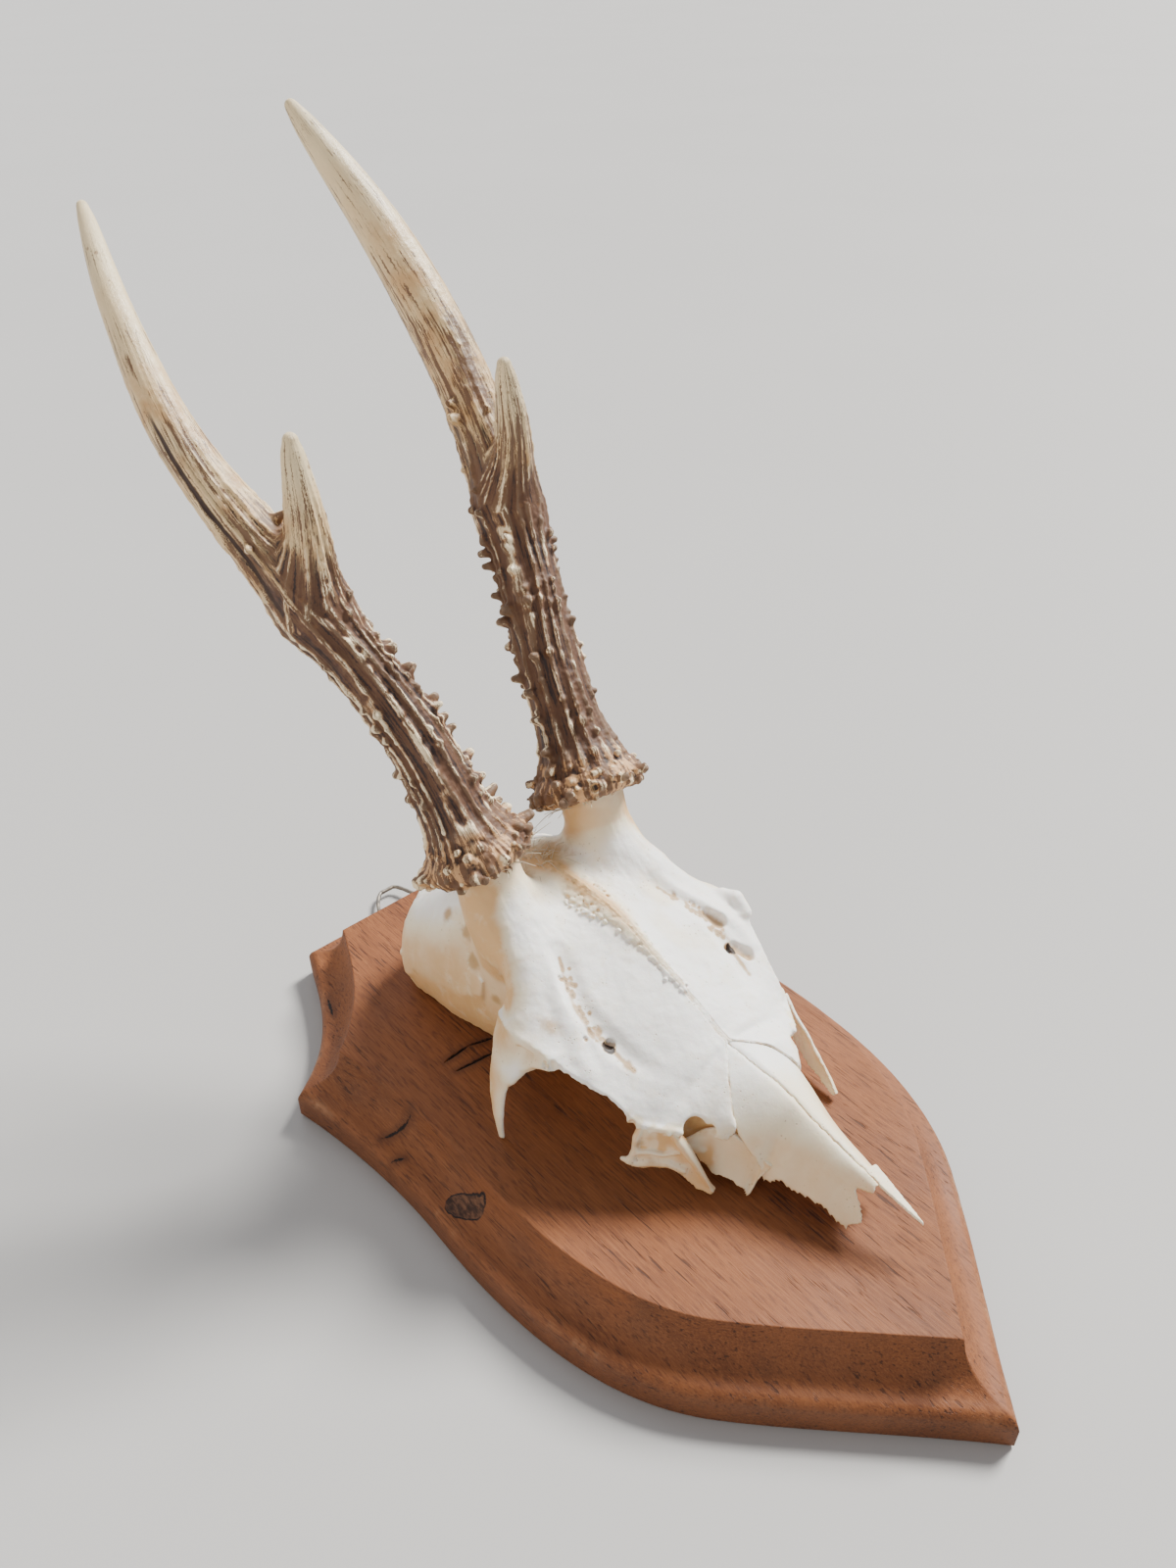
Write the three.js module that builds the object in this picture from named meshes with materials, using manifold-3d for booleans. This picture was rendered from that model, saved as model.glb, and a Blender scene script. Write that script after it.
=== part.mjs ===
// Roe deer skull cap with antlers on a wooden shield plaque.
// Millimetres, +Z up. The plaque lies on its back: the origin is the middle of its back face,
// +Y runs to its straight top edge and -Y to its point. The nose points along -Y, so the
// animal's left side is at +X and its right side at -X.
import * as THREE from 'three';
import { mergeVertices } from 'three/addons/utils/BufferGeometryUtils.js';
import Module from 'manifold-3d';

const wasm = await Module();
wasm.setup();

// ---------------------------------------------------------------- driving dimensions
const JOINT_GAP = 0.3;

const BOARD_LENGTH = 245.5;
const BOARD_THICKNESS = 22.5;
const BOARD_TOP_HALF_WIDTH = 40;
const SHOULDER_HALF_WIDTH = 73.7;
const SHOULDER_Y = 72.3;
const WAIST_HALF_WIDTH = 67.2;
const MOULDING_WIDTH = 12;
const EDGE_HEIGHT = 10.4;

const WIRE_DIAMETER = 1.5;
const WIRE_HEIGHT = 2.6;

const SKULL_X = 2;
const SKULL_Y = 26;
const SKULL_YAW = THREE.MathUtils.degToRad(4);
const CUT_PLANE = JOINT_GAP;

const NASION_Y = -50;
const CORONAL_SUTURE_Y = 24;
const OCCIPUT_Y = 62;
const BRAINCASE_HALF_WIDTH = 29.6;
const SUTURE_HALF_GAP = 0.15;
const BONE_PLATE = 1.6;
const FRONT_PLATE = 3;

const PEDICLE_RADIUS = 9.2;
const PEDICLE_FOOT_RADIUS = 10.6;
const BURR_THICKNESS = 9.5;
const BURR_LOBES = 11;

const LEFT = 1;
const RIGHT = -1;

// ---------------------------------------------------------------- materials
const material = (color, roughness, metalness = 0) =>
  new THREE.MeshStandardMaterial({ color, roughness, metalness });
const wood = material(0x8a4f33, 0.6);
const steel = material(0x6d675f, 0.5, 0.8);
const bone = material(0xf1eadb, 0.65);
const agedBone = material(0xe4d3b0, 0.65);
const antlerBrown = material(0x6f4b2f, 0.7);
const antlerIvory = material(0xdccba6, 0.5);

// ---------------------------------------------------------------- shape helpers
// A smooth function through [position, value] pairs, flat beyond both ends.
function smoothThrough(pairs) {
  const last = pairs.length - 1;
  const slope = (i) => {
    const a = pairs[Math.max(i - 1, 0)];
    const b = pairs[Math.min(i + 1, last)];
    return (b[1] - a[1]) / (b[0] - a[0]);
  };
  return (position) => {
    if (position <= pairs[0][0]) return pairs[0][1];
    if (position >= pairs[last][0]) return pairs[last][1];
    let i = 0;
    while (position > pairs[i + 1][0]) i += 1;
    const width = pairs[i + 1][0] - pairs[i][0];
    const t = (position - pairs[i][0]) / width;
    const start = pairs[i][1];
    const end = pairs[i + 1][1];
    return start * (2 * t ** 3 - 3 * t ** 2 + 1) + end * (3 * t ** 2 - 2 * t ** 3)
      + width * (slope(i) * (t ** 3 - 2 * t ** 2 + t) + slope(i + 1) * (t ** 3 - t ** 2));
  };
}

const lerp = THREE.MathUtils.lerp;
const smoothstep = THREE.MathUtils.smoothstep;
const steps = (from, to, count) =>
  Array.from({ length: count + 1 }, (unused, i) => lerp(from, to, i / count));

// Turns a closed triangle soup the right way out.
function closedGeometry(positions, triangles) {
  const at = (i) => new THREE.Vector3().fromArray(positions, i * 3);
  let volume = 0;
  for (let t = 0; t < triangles.length; t += 3) {
    const cross = at(triangles[t + 1]).cross(at(triangles[t + 2]));
    volume += at(triangles[t]).dot(cross);
  }
  const index = triangles.slice();
  if (volume < 0) index.reverse();
  const geometry = new THREE.BufferGeometry();
  geometry.setAttribute('position', new THREE.Float32BufferAttribute(positions, 3));
  geometry.setIndex(index);
  return geometry;
}

// Joins closed rings of equal length; flat ends are filled, a null end closes on an apex.
function loft(rings, { startApex = null, endApex = null } = {}) {
  const count = rings[0].length;
  const positions = rings.flat().flatMap((p) => [p.x, p.y, p.z]);
  const triangles = [];
  for (let r = 0; r < rings.length - 1; r += 1) {
    for (let i = 0; i < count; i += 1) {
      const a = r * count + i;
      const b = r * count + ((i + 1) % count);
      triangles.push(a, b, b + count, a, b + count, a + count);
    }
  }
  const close = (ring, offset, apex, backward) => {
    const add = (a, b, c) => (backward ? triangles.push(a, c, b) : triangles.push(a, b, c));
    if (apex) {
      const tip = positions.length / 3;
      positions.push(apex.x, apex.y, apex.z);
      for (let i = 0; i < count; i += 1) add(offset + i, offset + ((i + 1) % count), tip);
      return;
    }
    const flat = flatten(ring);
    for (const face of THREE.ShapeUtils.triangulateShape(flat.outline, [])) {
      const [a, b, c] = flat.reversed ? [face[0], face[2], face[1]] : face;
      add(offset + a, offset + b, offset + c);
    }
  };
  close(rings[0], 0, startApex, true);
  close(rings[rings.length - 1], (rings.length - 1) * count, endApex, false);
  return closedGeometry(positions, triangles);
}

// A ring seen in its own plane, for filling it with triangles.
function flatten(ring) {
  const normal = new THREE.Vector3();
  ring.forEach((p, i) => {
    const next = ring[(i + 1) % ring.length];
    normal.add(p.clone().cross(next));
  });
  normal.normalize();
  const across = Math.abs(normal.x) < 0.9 ? new THREE.Vector3(1, 0, 0) : new THREE.Vector3(0, 1, 0);
  const u = across.sub(normal.clone().multiplyScalar(across.dot(normal))).normalize();
  const v = normal.clone().cross(u);
  const outline = ring.map((p) => new THREE.Vector2(p.dot(u), p.dot(v)));
  return { outline, reversed: THREE.ShapeUtils.isClockWise(outline) };
}

function toSolid(geometry) {
  const clean = geometry.clone();
  clean.deleteAttribute('normal');
  clean.deleteAttribute('uv');
  const merged = mergeVertices(clean, 1e-4);
  return new wasm.Manifold(new wasm.Mesh({
    numProp: 3,
    vertProperties: new Float32Array(merged.attributes.position.array),
    triVerts: new Uint32Array(merged.index.array),
  }));
}

function toGeometry(solid) {
  const mesh = solid.getMesh();
  const geometry = new THREE.BufferGeometry();
  geometry.setAttribute('position', new THREE.Float32BufferAttribute(mesh.vertProperties, 3));
  geometry.setIndex(new THREE.Uint32BufferAttribute(mesh.triVerts, 1));
  return geometry;
}

function boxSolid(low, high) {
  const size = high.map((value, i) => value - low[i]);
  const geometry = new THREE.BoxGeometry(...size);
  geometry.translate(...low.map((value, i) => value + size[i] / 2));
  return toSolid(geometry);
}

const vector = (x, y, z) => new THREE.Vector3(x, y, z);

function named(name, geometry, finish) {
  const mesh = new THREE.Mesh(geometry, finish);
  mesh.name = name;
  return mesh;
}

// ---------------------------------------------------------------- shield plaque
// The two curves of the right half: up the side to the shoulder, and round the notch above it.
const tipY = -BOARD_LENGTH / 2;
const topY = BOARD_LENGTH / 2;
const point = new THREE.Vector2(0, tipY);
const belly = new THREE.Vector2(46, tipY + 49);
const waist = new THREE.Vector2(WAIST_HALF_WIDTH, 12);
const shoulder = new THREE.Vector2(SHOULDER_HALF_WIDTH, SHOULDER_Y);
const topCorner = new THREE.Vector2(BOARD_TOP_HALF_WIDTH, topY);
const sideCurves = [
  new THREE.CubicBezierCurve(point, new THREE.Vector2(15, tipY + 17),
    new THREE.Vector2(34, tipY + 35), belly),
  new THREE.CubicBezierCurve(belly, new THREE.Vector2(62, tipY + 67), new THREE.Vector2(69, -30), waist),
  new THREE.CubicBezierCurve(waist, new THREE.Vector2(66.6, 32), new THREE.Vector2(69.5, 55), shoulder),
];
const notchCurve = new THREE.CubicBezierCurve(shoulder, new THREE.Vector2(56, 83),
  new THREE.Vector2(50.5, 94), topCorner);

const SIDE_POINTS = 26;
const NOTCH_POINTS = 9;
const FINE = 40;

// Points of a curve moved to its left, which is the inside of the plaque.
function movedInwards(curve, distance) {
  return steps(0, 1, FINE).map((t) => {
    const tangent = curve.getTangent(t);
    return curve.getPoint(t).add(new THREE.Vector2(-tangent.y, tangent.x).multiplyScalar(distance));
  });
}

// Where two polylines cross: the segment numbers and the place, or null.
function crossing(first, second) {
  for (let i = first.length - 2; i >= 0; i -= 1) {
    for (let j = 0; j < second.length - 1; j += 1) {
      const along = first[i + 1].clone().sub(first[i]);
      const other = second[j + 1].clone().sub(second[j]);
      const between = second[j].clone().sub(first[i]);
      const turn = along.cross(other);
      const t = between.cross(other) / turn;
      const u = between.cross(along) / turn;
      if (t >= 0 && t <= 1 && u >= 0 && u <= 1) {
        return { i, j, place: first[i].clone().addScaledVector(along, t) };
      }
    }
  }
  return null;
}

// The same number of points again, evenly spaced along a polyline.
function resampled(points, count) {
  const lengths = [0];
  for (let i = 1; i < points.length; i += 1) {
    lengths.push(lengths[i - 1] + points[i].distanceTo(points[i - 1]));
  }
  return steps(0, lengths[lengths.length - 1], count).map((target) => {
    let i = 0;
    while (i < points.length - 2 && lengths[i + 1] < target) i += 1;
    const share = (target - lengths[i]) / (lengths[i + 1] - lengths[i]);
    return points[i].clone().lerp(points[i + 1], Math.min(share, 1));
  });
}

// The plaque's outline with every edge moved in by one distance, its corners kept sharp.
function boardOutline(distance) {
  const side = sideCurves.flatMap((curve) => movedInwards(curve, distance));
  const notch = movedInwards(notchCurve, distance);
  const middleLine = [new THREE.Vector2(0, topY), new THREE.Vector2(0, tipY - 1)];
  const topLine = [new THREE.Vector2(BOARD_LENGTH, topY - distance), new THREE.Vector2(-1, topY - distance)];
  const low = distance > 0 ? crossing(side.slice(0, FINE), middleLine) : { i: 0, place: point.clone() };
  const atShoulder = distance > 0 ? crossing(side, notch)
    : { i: side.length - 2, j: 0, place: shoulder.clone() };
  const high = distance > 0 ? crossing(notch, topLine) : { i: FINE - 1, place: topCorner.clone() };
  const sidePart = [low.place, ...side.slice(low.i + 1, atShoulder.i + 1), atShoulder.place];
  const notchPart = [atShoulder.place, ...notch.slice(atShoulder.j + 1, high.i + 1), high.place];
  const half = [...resampled(sidePart, SIDE_POINTS).slice(0, -1), ...resampled(notchPart, NOTCH_POINTS)];
  const mirrored = half.slice(1).reverse().map((p) => new THREE.Vector2(-p.x, p.y));
  return half.concat(mirrored);
}

function shieldBoard() {
  const profile = [
    [0.5, 0],
    [0, 0.6],
    [0, EDGE_HEIGHT - 3.4],
    [0.9, EDGE_HEIGHT - 1.2],
    [2.6, EDGE_HEIGHT],
    [4.8, EDGE_HEIGHT + 0.5],
    [7.6, EDGE_HEIGHT + 2.2],
    [10.2, EDGE_HEIGHT + 5.6],
    [MOULDING_WIDTH, BOARD_THICKNESS],
  ];
  const rings = profile.map(([depth, height]) =>
    boardOutline(depth).map((p) => vector(p.x, p.y, height)));
  return named('shield_board', loft(rings), wood);
}

// A bent wire loop that stands out of the plaque's top edge, for hanging it on a nail.
function hangerWire() {
  const edge = BOARD_LENGTH / 2 + JOINT_GAP;
  const corners = [[-9, 0], [-6.6, 9], [-1.2, 15.6], [4, 15.4], [7, 8.4], [9, 0]];
  const path = new THREE.CatmullRomCurve3(
    corners.map(([x, reach]) => vector(x, edge + reach, WIRE_HEIGHT)), false, 'catmullrom', 0.35);
  const section = new THREE.Shape();
  section.absarc(0, 0, WIRE_DIAMETER / 2, 0, 2 * Math.PI);
  const geometry = new THREE.ExtrudeGeometry(section, { steps: 22, extrudePath: path, curveSegments: 4 });
  return named('hanger_wire', geometry, steel);
}

// ---------------------------------------------------------------- frontal bones
// Heights are above the plaque's face, y is along the skull with the nose at -y.
const roofMiddle = smoothThrough([[-50, 29.5], [-40, 35], [-29, 40.5], [-15, 47.5], [0, 51.5],
  [12, 51.5], [24, 50.5]]);
const roofHollow = smoothThrough([[-50, 28.5], [-31, 37.4], [-19, 42.6], [-8, 46.4], [2, 49],
  [24, 49.5]]);
const roofShoulder = smoothThrough([[-50, 24], [-40, 29], [-31, 33.6], [-19, 39.6], [-10, 41.8],
  [-3, 45], [4, 48.6], [12, 46], [24, 43.5]]);
const rimHeight = smoothThrough([[-50, 18.5], [-46, 21], [-40, 26.2], [-33, 29.6], [-26, 33],
  [-18, 35.4], [-10, 34.2], [-3, 31], [4, 33], [24, 33]]);
const rimHalfWidth = smoothThrough([[-50, 27], [-46, 30.8], [-40, 32.6], [-33, 35.6], [-26, 38.4],
  [-18, 40.2], [-9, 39.4], [-3, 35], [4, 28.4], [12, 27.6], [24, 28.2]]);
const wallHalfWidth = smoothThrough([[-50, 15], [-30, 14.5], [-15, 15], [-4, 17], [4, 22], [12, 26],
  [24, 26.5]]);

function frontalSection(y) {
  const half = rimHalfWidth(y);
  const rim = rimHeight(y);
  const wall = wallHalfWidth(y);
  const overhang = 1 - smoothstep(y, -5, 7);
  const top = new THREE.SplineCurve([
    new THREE.Vector2(SUTURE_HALF_GAP, roofMiddle(y)),
    new THREE.Vector2(0.34 * half, roofHollow(y)),
    new THREE.Vector2(0.7 * half, roofShoulder(y)),
    new THREE.Vector2(half, rim),
  ]).getPoints(8);
  const under = roofShoulder(y) - 7;
  const side = [
    [[half - 0.2, rim - 1.6], [half + 0.2, rim - 4]],
    [[half - 2.2, rim - 3.2], [half, rim - 9]],
    [[lerp(wall, half, 0.45), under], [half - 0.4, 18]],
    [[wall + 1.4, under - 3], [half - 1.2, 12]],
    [[wall, 13], [half - 2.2, 6]],
    [[wall - 0.6, CUT_PLANE], [half - 3.4, CUT_PLANE]],
  ].map(([hung, solid]) => new THREE.Vector2(lerp(solid[0], hung[0], overhang),
    lerp(solid[1], hung[1], overhang)));
  return [...top, ...side, new THREE.Vector2(SUTURE_HALF_GAP, CUT_PLANE)];
}

// The thin front part, whose inner edge runs along the nasal bone.
const frontPlateOuter = smoothThrough([[-64, 14.6], [-60, 18.4], [-56, 21.5], [-52, 25.5], [-49, 28]]);
const frontPlateOuterHeight = smoothThrough([[-64, 16.8], [-60, 18.4], [-54, 19.4], [-49, 19.6]]);
const nasalHalfWidth = smoothThrough([[-110, 3.2], [-99, 6.5], [-92.5, 8.4], [-86, 9.8], [-80, 11],
  [-74, 12.4], [-68, 13.4], [-63, 12.6], [-58, 8.8], [-54, 4.8], [-50, 0.6]]);
const nasalMiddle = smoothThrough([[-112, 9.8], [-98, 15.5], [-84, 20.5], [-69, 26.2], [-60, 28],
  [-50, 29.2]]);
const nasalEdge = smoothThrough([[-110, 9], [-99, 5.4], [-92.5, 7.2], [-86, 8], [-80, 9.5],
  [-74, 11.8], [-68, 15.6], [-63, 20.6], [-58, 26], [-54, 28], [-50, 28.9]]);

function frontPlateSection(y) {
  const inner = Math.max(nasalHalfWidth(y) + JOINT_GAP, SUTURE_HALF_GAP);
  const outer = frontPlateOuter(y);
  const innerHeight = Math.min(nasalEdge(y) + 0.6, roofMiddle(y));
  const outerHeight = frontPlateOuterHeight(y);
  const crown = (innerHeight + outerHeight) / 2 + 1;
  const middle = (inner + outer) / 2;
  return [[inner, innerHeight], [middle, crown], [outer, outerHeight],
    [outer - 0.6, outerHeight - FRONT_PLATE], [middle, crown - FRONT_PLATE],
    [inner, innerHeight - FRONT_PLATE]]
    .map(([x, z]) => new THREE.Vector2(x, z));
}

const ring = (section, side, y) => section.map((p) => vector(side * p.x, y, p.y));

// A round bar through centres with radii, such as a pedicle.
function bar(centres, radii, segments) {
  const rings = centres.map((centre, i) => {
    const before = centres[Math.max(i - 1, 0)];
    const after = centres[Math.min(i + 1, centres.length - 1)];
    const along = after.clone().sub(before).normalize();
    const across = vector(1, 0, 0).cross(along).normalize();
    const sideways = along.clone().cross(across);
    return steps(0, 2 * Math.PI, segments).slice(0, -1).map((angle) => centre.clone()
      .addScaledVector(sideways, radii[i] * Math.cos(angle))
      .addScaledVector(across, radii[i] * Math.sin(angle)));
  });
  return loft(rings);
}

// The spike that is left of the bar behind the eye, bent down and outwards to the cut.
function postorbitalBar(side) {
  const centre = smoothThrough([[0, 46.8], [8, 46], [16, 43], [24, 39.6], [29, 37.8], [33, 36]]);
  const lean = smoothThrough([[0, -12], [8, -10.4], [16, -8], [24, -8.6], [29, -10.6], [33, -12.6]]);
  const depth = smoothThrough([[0, 1.1], [8, 1.9], [16, 3.3], [24, 6], [29, 8.4], [33, 10]]);
  const thickness = smoothThrough([[0, 0.7], [8, 1.1], [24, 1.8], [29, 2.6], [33, 3.4]]);
  const rings = [CUT_PLANE + 0.6, 4, 8, 12, 16, 20, 24, 28, 32].map((z) =>
    steps(0, 2 * Math.PI, 10).slice(0, -1).map((angle) => vector(
      side * (centre(z) + thickness(z) * Math.cos(angle)),
      lean(z) + depth(z) * Math.sin(angle), z)));
  return loft(rings);
}

// The rounded ridge from the foot of the pedicle down to the rear of the eye socket's rim.
function temporalRidge(side) {
  const centres = [[20, 14, 50], [21.5, 7, 46.5], [24.5, 0, 42.5], [28, -6, 38], [32.5, -10, 33.5],
    [36.8, -11, 28.5]];
  const radii = [8.2, 8, 7.2, 5.8, 4.4, 2.8];
  return bar(centres.map(([x, y, z]) => vector(side * x, y, z)), radii, 12);
}

function frontal(side) {
  const stations = [-50, -47.5, -45, -42, -38, -33, -28, -23, -18, -13, -9, -6, -3, 0, 3, 6, 11, 17,
    CORONAL_SUTURE_Y - JOINT_GAP / 2];
  const plateStations = [-64, -61, -58, -55, -52, -49.4];
  let solid = toSolid(loft(stations.map((y) => ring(frontalSection(y), side, y))));
  solid = solid.add(toSolid(loft(plateStations.map((y) => ring(frontPlateSection(y), side, y)))));
  const burr = antlerShapes[side].burrFrame;
  const top = burr.centre.clone().addScaledVector(burr.along, -BURR_THICKNESS / 2 - JOINT_GAP);
  const foot = vector(side * 19.5, 11, 41);
  const pedicle = [foot, foot.clone().lerp(top, 0.35), foot.clone().lerp(top, 0.7),
    top.clone().addScaledVector(burr.along, -3), top];
  const radii = [PEDICLE_FOOT_RADIUS, lerp(PEDICLE_FOOT_RADIUS, PEDICLE_RADIUS, 0.35),
    lerp(PEDICLE_FOOT_RADIUS, PEDICLE_RADIUS, 0.8), PEDICLE_RADIUS, PEDICLE_RADIUS + 0.3];
  solid = solid.add(toSolid(bar(pedicle, radii, 16)));
  solid = solid.add(toSolid(temporalRidge(side)));
  return solid.add(toSolid(postorbitalBar(side)));
}

// The box outside the frontal bone that holds only the spike.
const SPIKE_TOP = 22;
const SPIKE_INNER_X = 33;
const SPIKE_OUTER_X = 60;
const SPIKE_FRONT_Y = -24;
const SPIKE_BACK_Y = 8;

function frontalBones(side, name) {
  const whole = frontal(side);
  const lowX = Math.min(side * SPIKE_INNER_X, side * SPIKE_OUTER_X);
  const highX = Math.max(side * SPIKE_INNER_X, side * SPIKE_OUTER_X);
  const low = [lowX, SPIKE_FRONT_Y, -1];
  const spikeBox = boxSolid(low, [highX, SPIKE_BACK_Y, SPIKE_TOP]);
  const clearance = boxSolid(low, [highX, SPIKE_BACK_Y, SPIKE_TOP + JOINT_GAP]);
  return [
    named(`frontal_${name}`, toGeometry(whole.subtract(clearance)), bone),
    named(`postorbital_process_${name}`, toGeometry(whole.intersect(spikeBox)), bone),
  ];
}

// ---------------------------------------------------------------- braincase
const braincaseRoof = smoothThrough([[24, 50.2], [32, 48.6], [40, 45.2], [48, 40.6], [55, 34.6],
  [59, 27], [OCCIPUT_Y, 14]]);
const braincaseHalfWidth = smoothThrough([[24, 28.2], [32, 29.2], [40, BRAINCASE_HALF_WIDTH],
  [48, BRAINCASE_HALF_WIDTH], [54, 28], [59, 25], [OCCIPUT_Y, 20]]);

function braincaseSection(y) {
  const height = braincaseRoof(y);
  const half = braincaseHalfWidth(y);
  const arch = steps(-0.12, Math.PI + 0.12, 22).map((angle) => {
    const x = half * Math.sign(Math.cos(angle)) * Math.abs(Math.cos(angle)) ** 0.86;
    const rise = Math.sin(angle) < 0 ? 6 * Math.sin(angle) : Math.sin(angle) ** 0.82;
    const z = rise < 0 ? height * 0.3 + rise * 8 : height * (0.3 + 0.7 * rise);
    return vector(x, y, Math.max(z, CUT_PLANE + 5));
  });
  const foot = half - 3.2;
  return [vector(foot, y, CUT_PLANE), ...arch, vector(-foot, y, CUT_PLANE)];
}

function braincase() {
  const stations = [CORONAL_SUTURE_Y + JOINT_GAP / 2, 28, 33, 38, 43, 48, 52, 56, 59, OCCIPUT_Y];
  return named('braincase', loft(stations.map(braincaseSection)), agedBone);
}

// ---------------------------------------------------------------- nasal bones
// Half of an arched shell from the middle seam to its side edge.
function nasalSection(y, innerShare, outerShare) {
  const half = nasalHalfWidth(y);
  const crest = nasalMiddle(y);
  const edge = nasalEdge(y);
  const shares = steps(innerShare, outerShare, 6);
  const height = (share) => edge + (crest - edge) * (1 - share ** 1.7);
  const outer = shares.map((share) =>
    new THREE.Vector2(SUTURE_HALF_GAP + share * half, height(share)));
  const inner = shares.slice().reverse().map((share) =>
    new THREE.Vector2(SUTURE_HALF_GAP + share * Math.max(half - 1, half * 0.5),
      height(share) - BONE_PLATE));
  return [...outer, ...inner];
}

const NASAL_BACK = NASION_Y - 2.5;
const NASAL_BREAK = -97.5;
const NASAL_SPLINTER_TIP = -110;

function nasal(side, name, splinter) {
  const stations = steps(NASAL_BREAK, NASAL_BACK, 11);
  let solid = toSolid(loft(stations.map((y) => ring(nasalSection(y, 0, 1), side, y))));
  if (splinter) {
    const thin = [NASAL_SPLINTER_TIP, -106, -102, NASAL_BREAK + 0.6].map((y) => {
      const width = smoothThrough([[NASAL_SPLINTER_TIP, 0.5], [NASAL_BREAK, 3.6]])(y);
      const height = nasalMiddle(y) - 0.2;
      return ring([[0.5, height], [0.5 + width, height - 0.5 * width],
        [0.5 + width, height - 0.5 * width - 1], [0.5, height - 1.2]]
        .map(([x, z]) => new THREE.Vector2(x, z)), side, y);
    });
    solid = solid.add(toSolid(loft(thin)));
  }
  return named(`nasal_${name}`, toGeometry(solid), bone);
}

// ---------------------------------------------------------------- broken face plates
// A thin standing plate between an upper and a lower edge, both [x, y, z] along its length.
function plate(upper, lower, thickness, side) {
  const rings = upper.map(([x, y, z], i) => {
    const [lowX, lowY, lowZ] = lower[i];
    return [[x, y, z], [x - thickness, y, z], [lowX - thickness, lowY, lowZ], [lowX, lowY, lowZ]]
      .map(([px, py, pz]) => vector(side * px, py, pz));
  });
  return loft(rings);
}

// The two sides broke differently: the right one is a hooked flake, the left one a long splinter.
function rightLacrimal() {
  const upper = [[32.4, -45.6, 16], [29.4, -49.4, 16.2], [25, -54.4, 16], [21.6, -58.6, 14.6],
    [20.4, -62, 9]];
  const lower = [[33.4, -45.2, 6.4], [30.4, -50.8, 7.2], [26.8, -56.2, 7], [24.2, -60.6, 5.2],
    [21.8, -64.4, 1.4]];
  return named('lacrimal_right', plate(upper, lower, BONE_PLATE, RIGHT), bone);
}

function leftLacrimal() {
  const upper = [[32.4, -46.4, 17], [31, -51, 16.4], [30, -56.5, 12.6], [28.2, -61.4, 9.4],
    [26.6, -66, 5.6]];
  const lower = [[33.2, -46, 8], [31.5, -51, 4.8], [29.4, -56.6, 3], [27.8, -61.6, 1.8],
    [25.4, -69.4, 1.4]];
  return named('lacrimal_left', plate(upper, lower, BONE_PLATE, LEFT), bone);
}

function maxilla(side, name) {
  const upper = [[18.6, -57.4, 13.6], [17, -62, 12], [15.6, -66.6, 11], [14.4, -71, 9.8],
    [13.4, -73.6, 8.4]];
  const lower = [[19.6, -58.6, 6.6], [18.4, -62.6, 4], [17.4, -66.6, 3.4], [16.4, -70.6, 2],
    [15, -73.4, 2.4]];
  return named(`maxilla_${name}`, plate(upper, lower, BONE_PLATE, side), agedBone);
}

// ---------------------------------------------------------------- antlers
// Centre lines of the two antlers from the middle of the burr, the fork being the third point.
const antlerPlans = {
  [RIGHT]: {
    beam: [[-21.1, 20.7, 66.4], [-25.8, 37.6, 99.5], [-36.8, 65.6, 137.2], [-43.8, 91.2, 166.1],
      [-40.1, 116.2, 191], [-31.2, 141.8, 212.2]],
    frontTine: [-33.2, 59, 171.3],
    radius: smoothThrough([[0, 12.6], [6, 11], [13, 9.5], [25, 8.5], [60, 8], [84, 8.3], [100, 7.4],
      [112, 6.6], [135, 5.5], [155, 4.3], [175, 3.3], [188, 2.2], [196, 0.9]]),
    burrRadius: 16.9,
  },
  [LEFT]: {
    beam: [[20.7, 20.4, 67.1], [26.7, 41.2, 98.5], [35.9, 64, 130.5], [41.7, 90.2, 165.4],
      [40.1, 116.1, 197.6], [32.3, 142.3, 229]],
    frontTine: [33, 59.8, 173.6],
    radius: smoothThrough([[0, 13.8], [6, 12], [13, 10.4], [25, 9.3], [60, 9], [84, 9], [100, 8.4],
      [118, 8], [140, 7.8], [160, 7], [180, 5.5], [196, 3.5], [206, 0.9]]),
    burrRadius: 18,
  },
};

const BEAM_SIDES = 16;
const TINE_SIDES = 12;
const RIDGES = 6;
const FORK_SHARE = 0.42;
const TINE_BOW = 3.2;
const TIP_APEX = 1.2;

// Rings round a curve at the given distances, each at a radius that may vary round it.
function ringsAlong(curve, distances, sides, radiusAt) {
  const length = curve.getLength();
  const frames = curve.computeFrenetFrames(60, false);
  return distances.map((distance) => {
    const share = Math.min(distance / length, 1);
    const centre = curve.getPointAt(share);
    const frame = Math.round(share * 60);
    return steps(0, 2 * Math.PI, sides).slice(0, -1).map((angle) => {
      const radius = radiusAt(distance, angle);
      return centre.clone()
        .addScaledVector(frames.normals[frame], radius * Math.cos(angle))
        .addScaledVector(frames.binormals[frame], radius * Math.sin(angle));
    });
  });
}

// Lengthwise ridges and scattered knobs, strongest low down and gone at the tips.
function roughness(distance, angle) {
  const fade = 1 - smoothstep(distance, 60, 130);
  const ridge = 0.35 * Math.cos(RIDGES * angle + 0.02 * distance);
  const knob = 0.55 * Math.sin(0.9 * distance + 3 * angle) * Math.sin(5 * angle - 0.5 * distance);
  return fade * (ridge + knob);
}

function antlerShape(plan) {
  const points = plan.beam.map((p) => vector(...p));
  const curve = new THREE.CatmullRomCurve3(points, false, 'centripetal');
  curve.arcLengthDivisions = 400;
  const along = curve.getTangentAt(0.02);
  return { plan, curve, length: curve.getLength(), burrFrame: { centre: points[0], along } };
}

const antlerShapes = {
  [LEFT]: antlerShape(antlerPlans[LEFT]),
  [RIGHT]: antlerShape(antlerPlans[RIGHT]),
};

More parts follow.
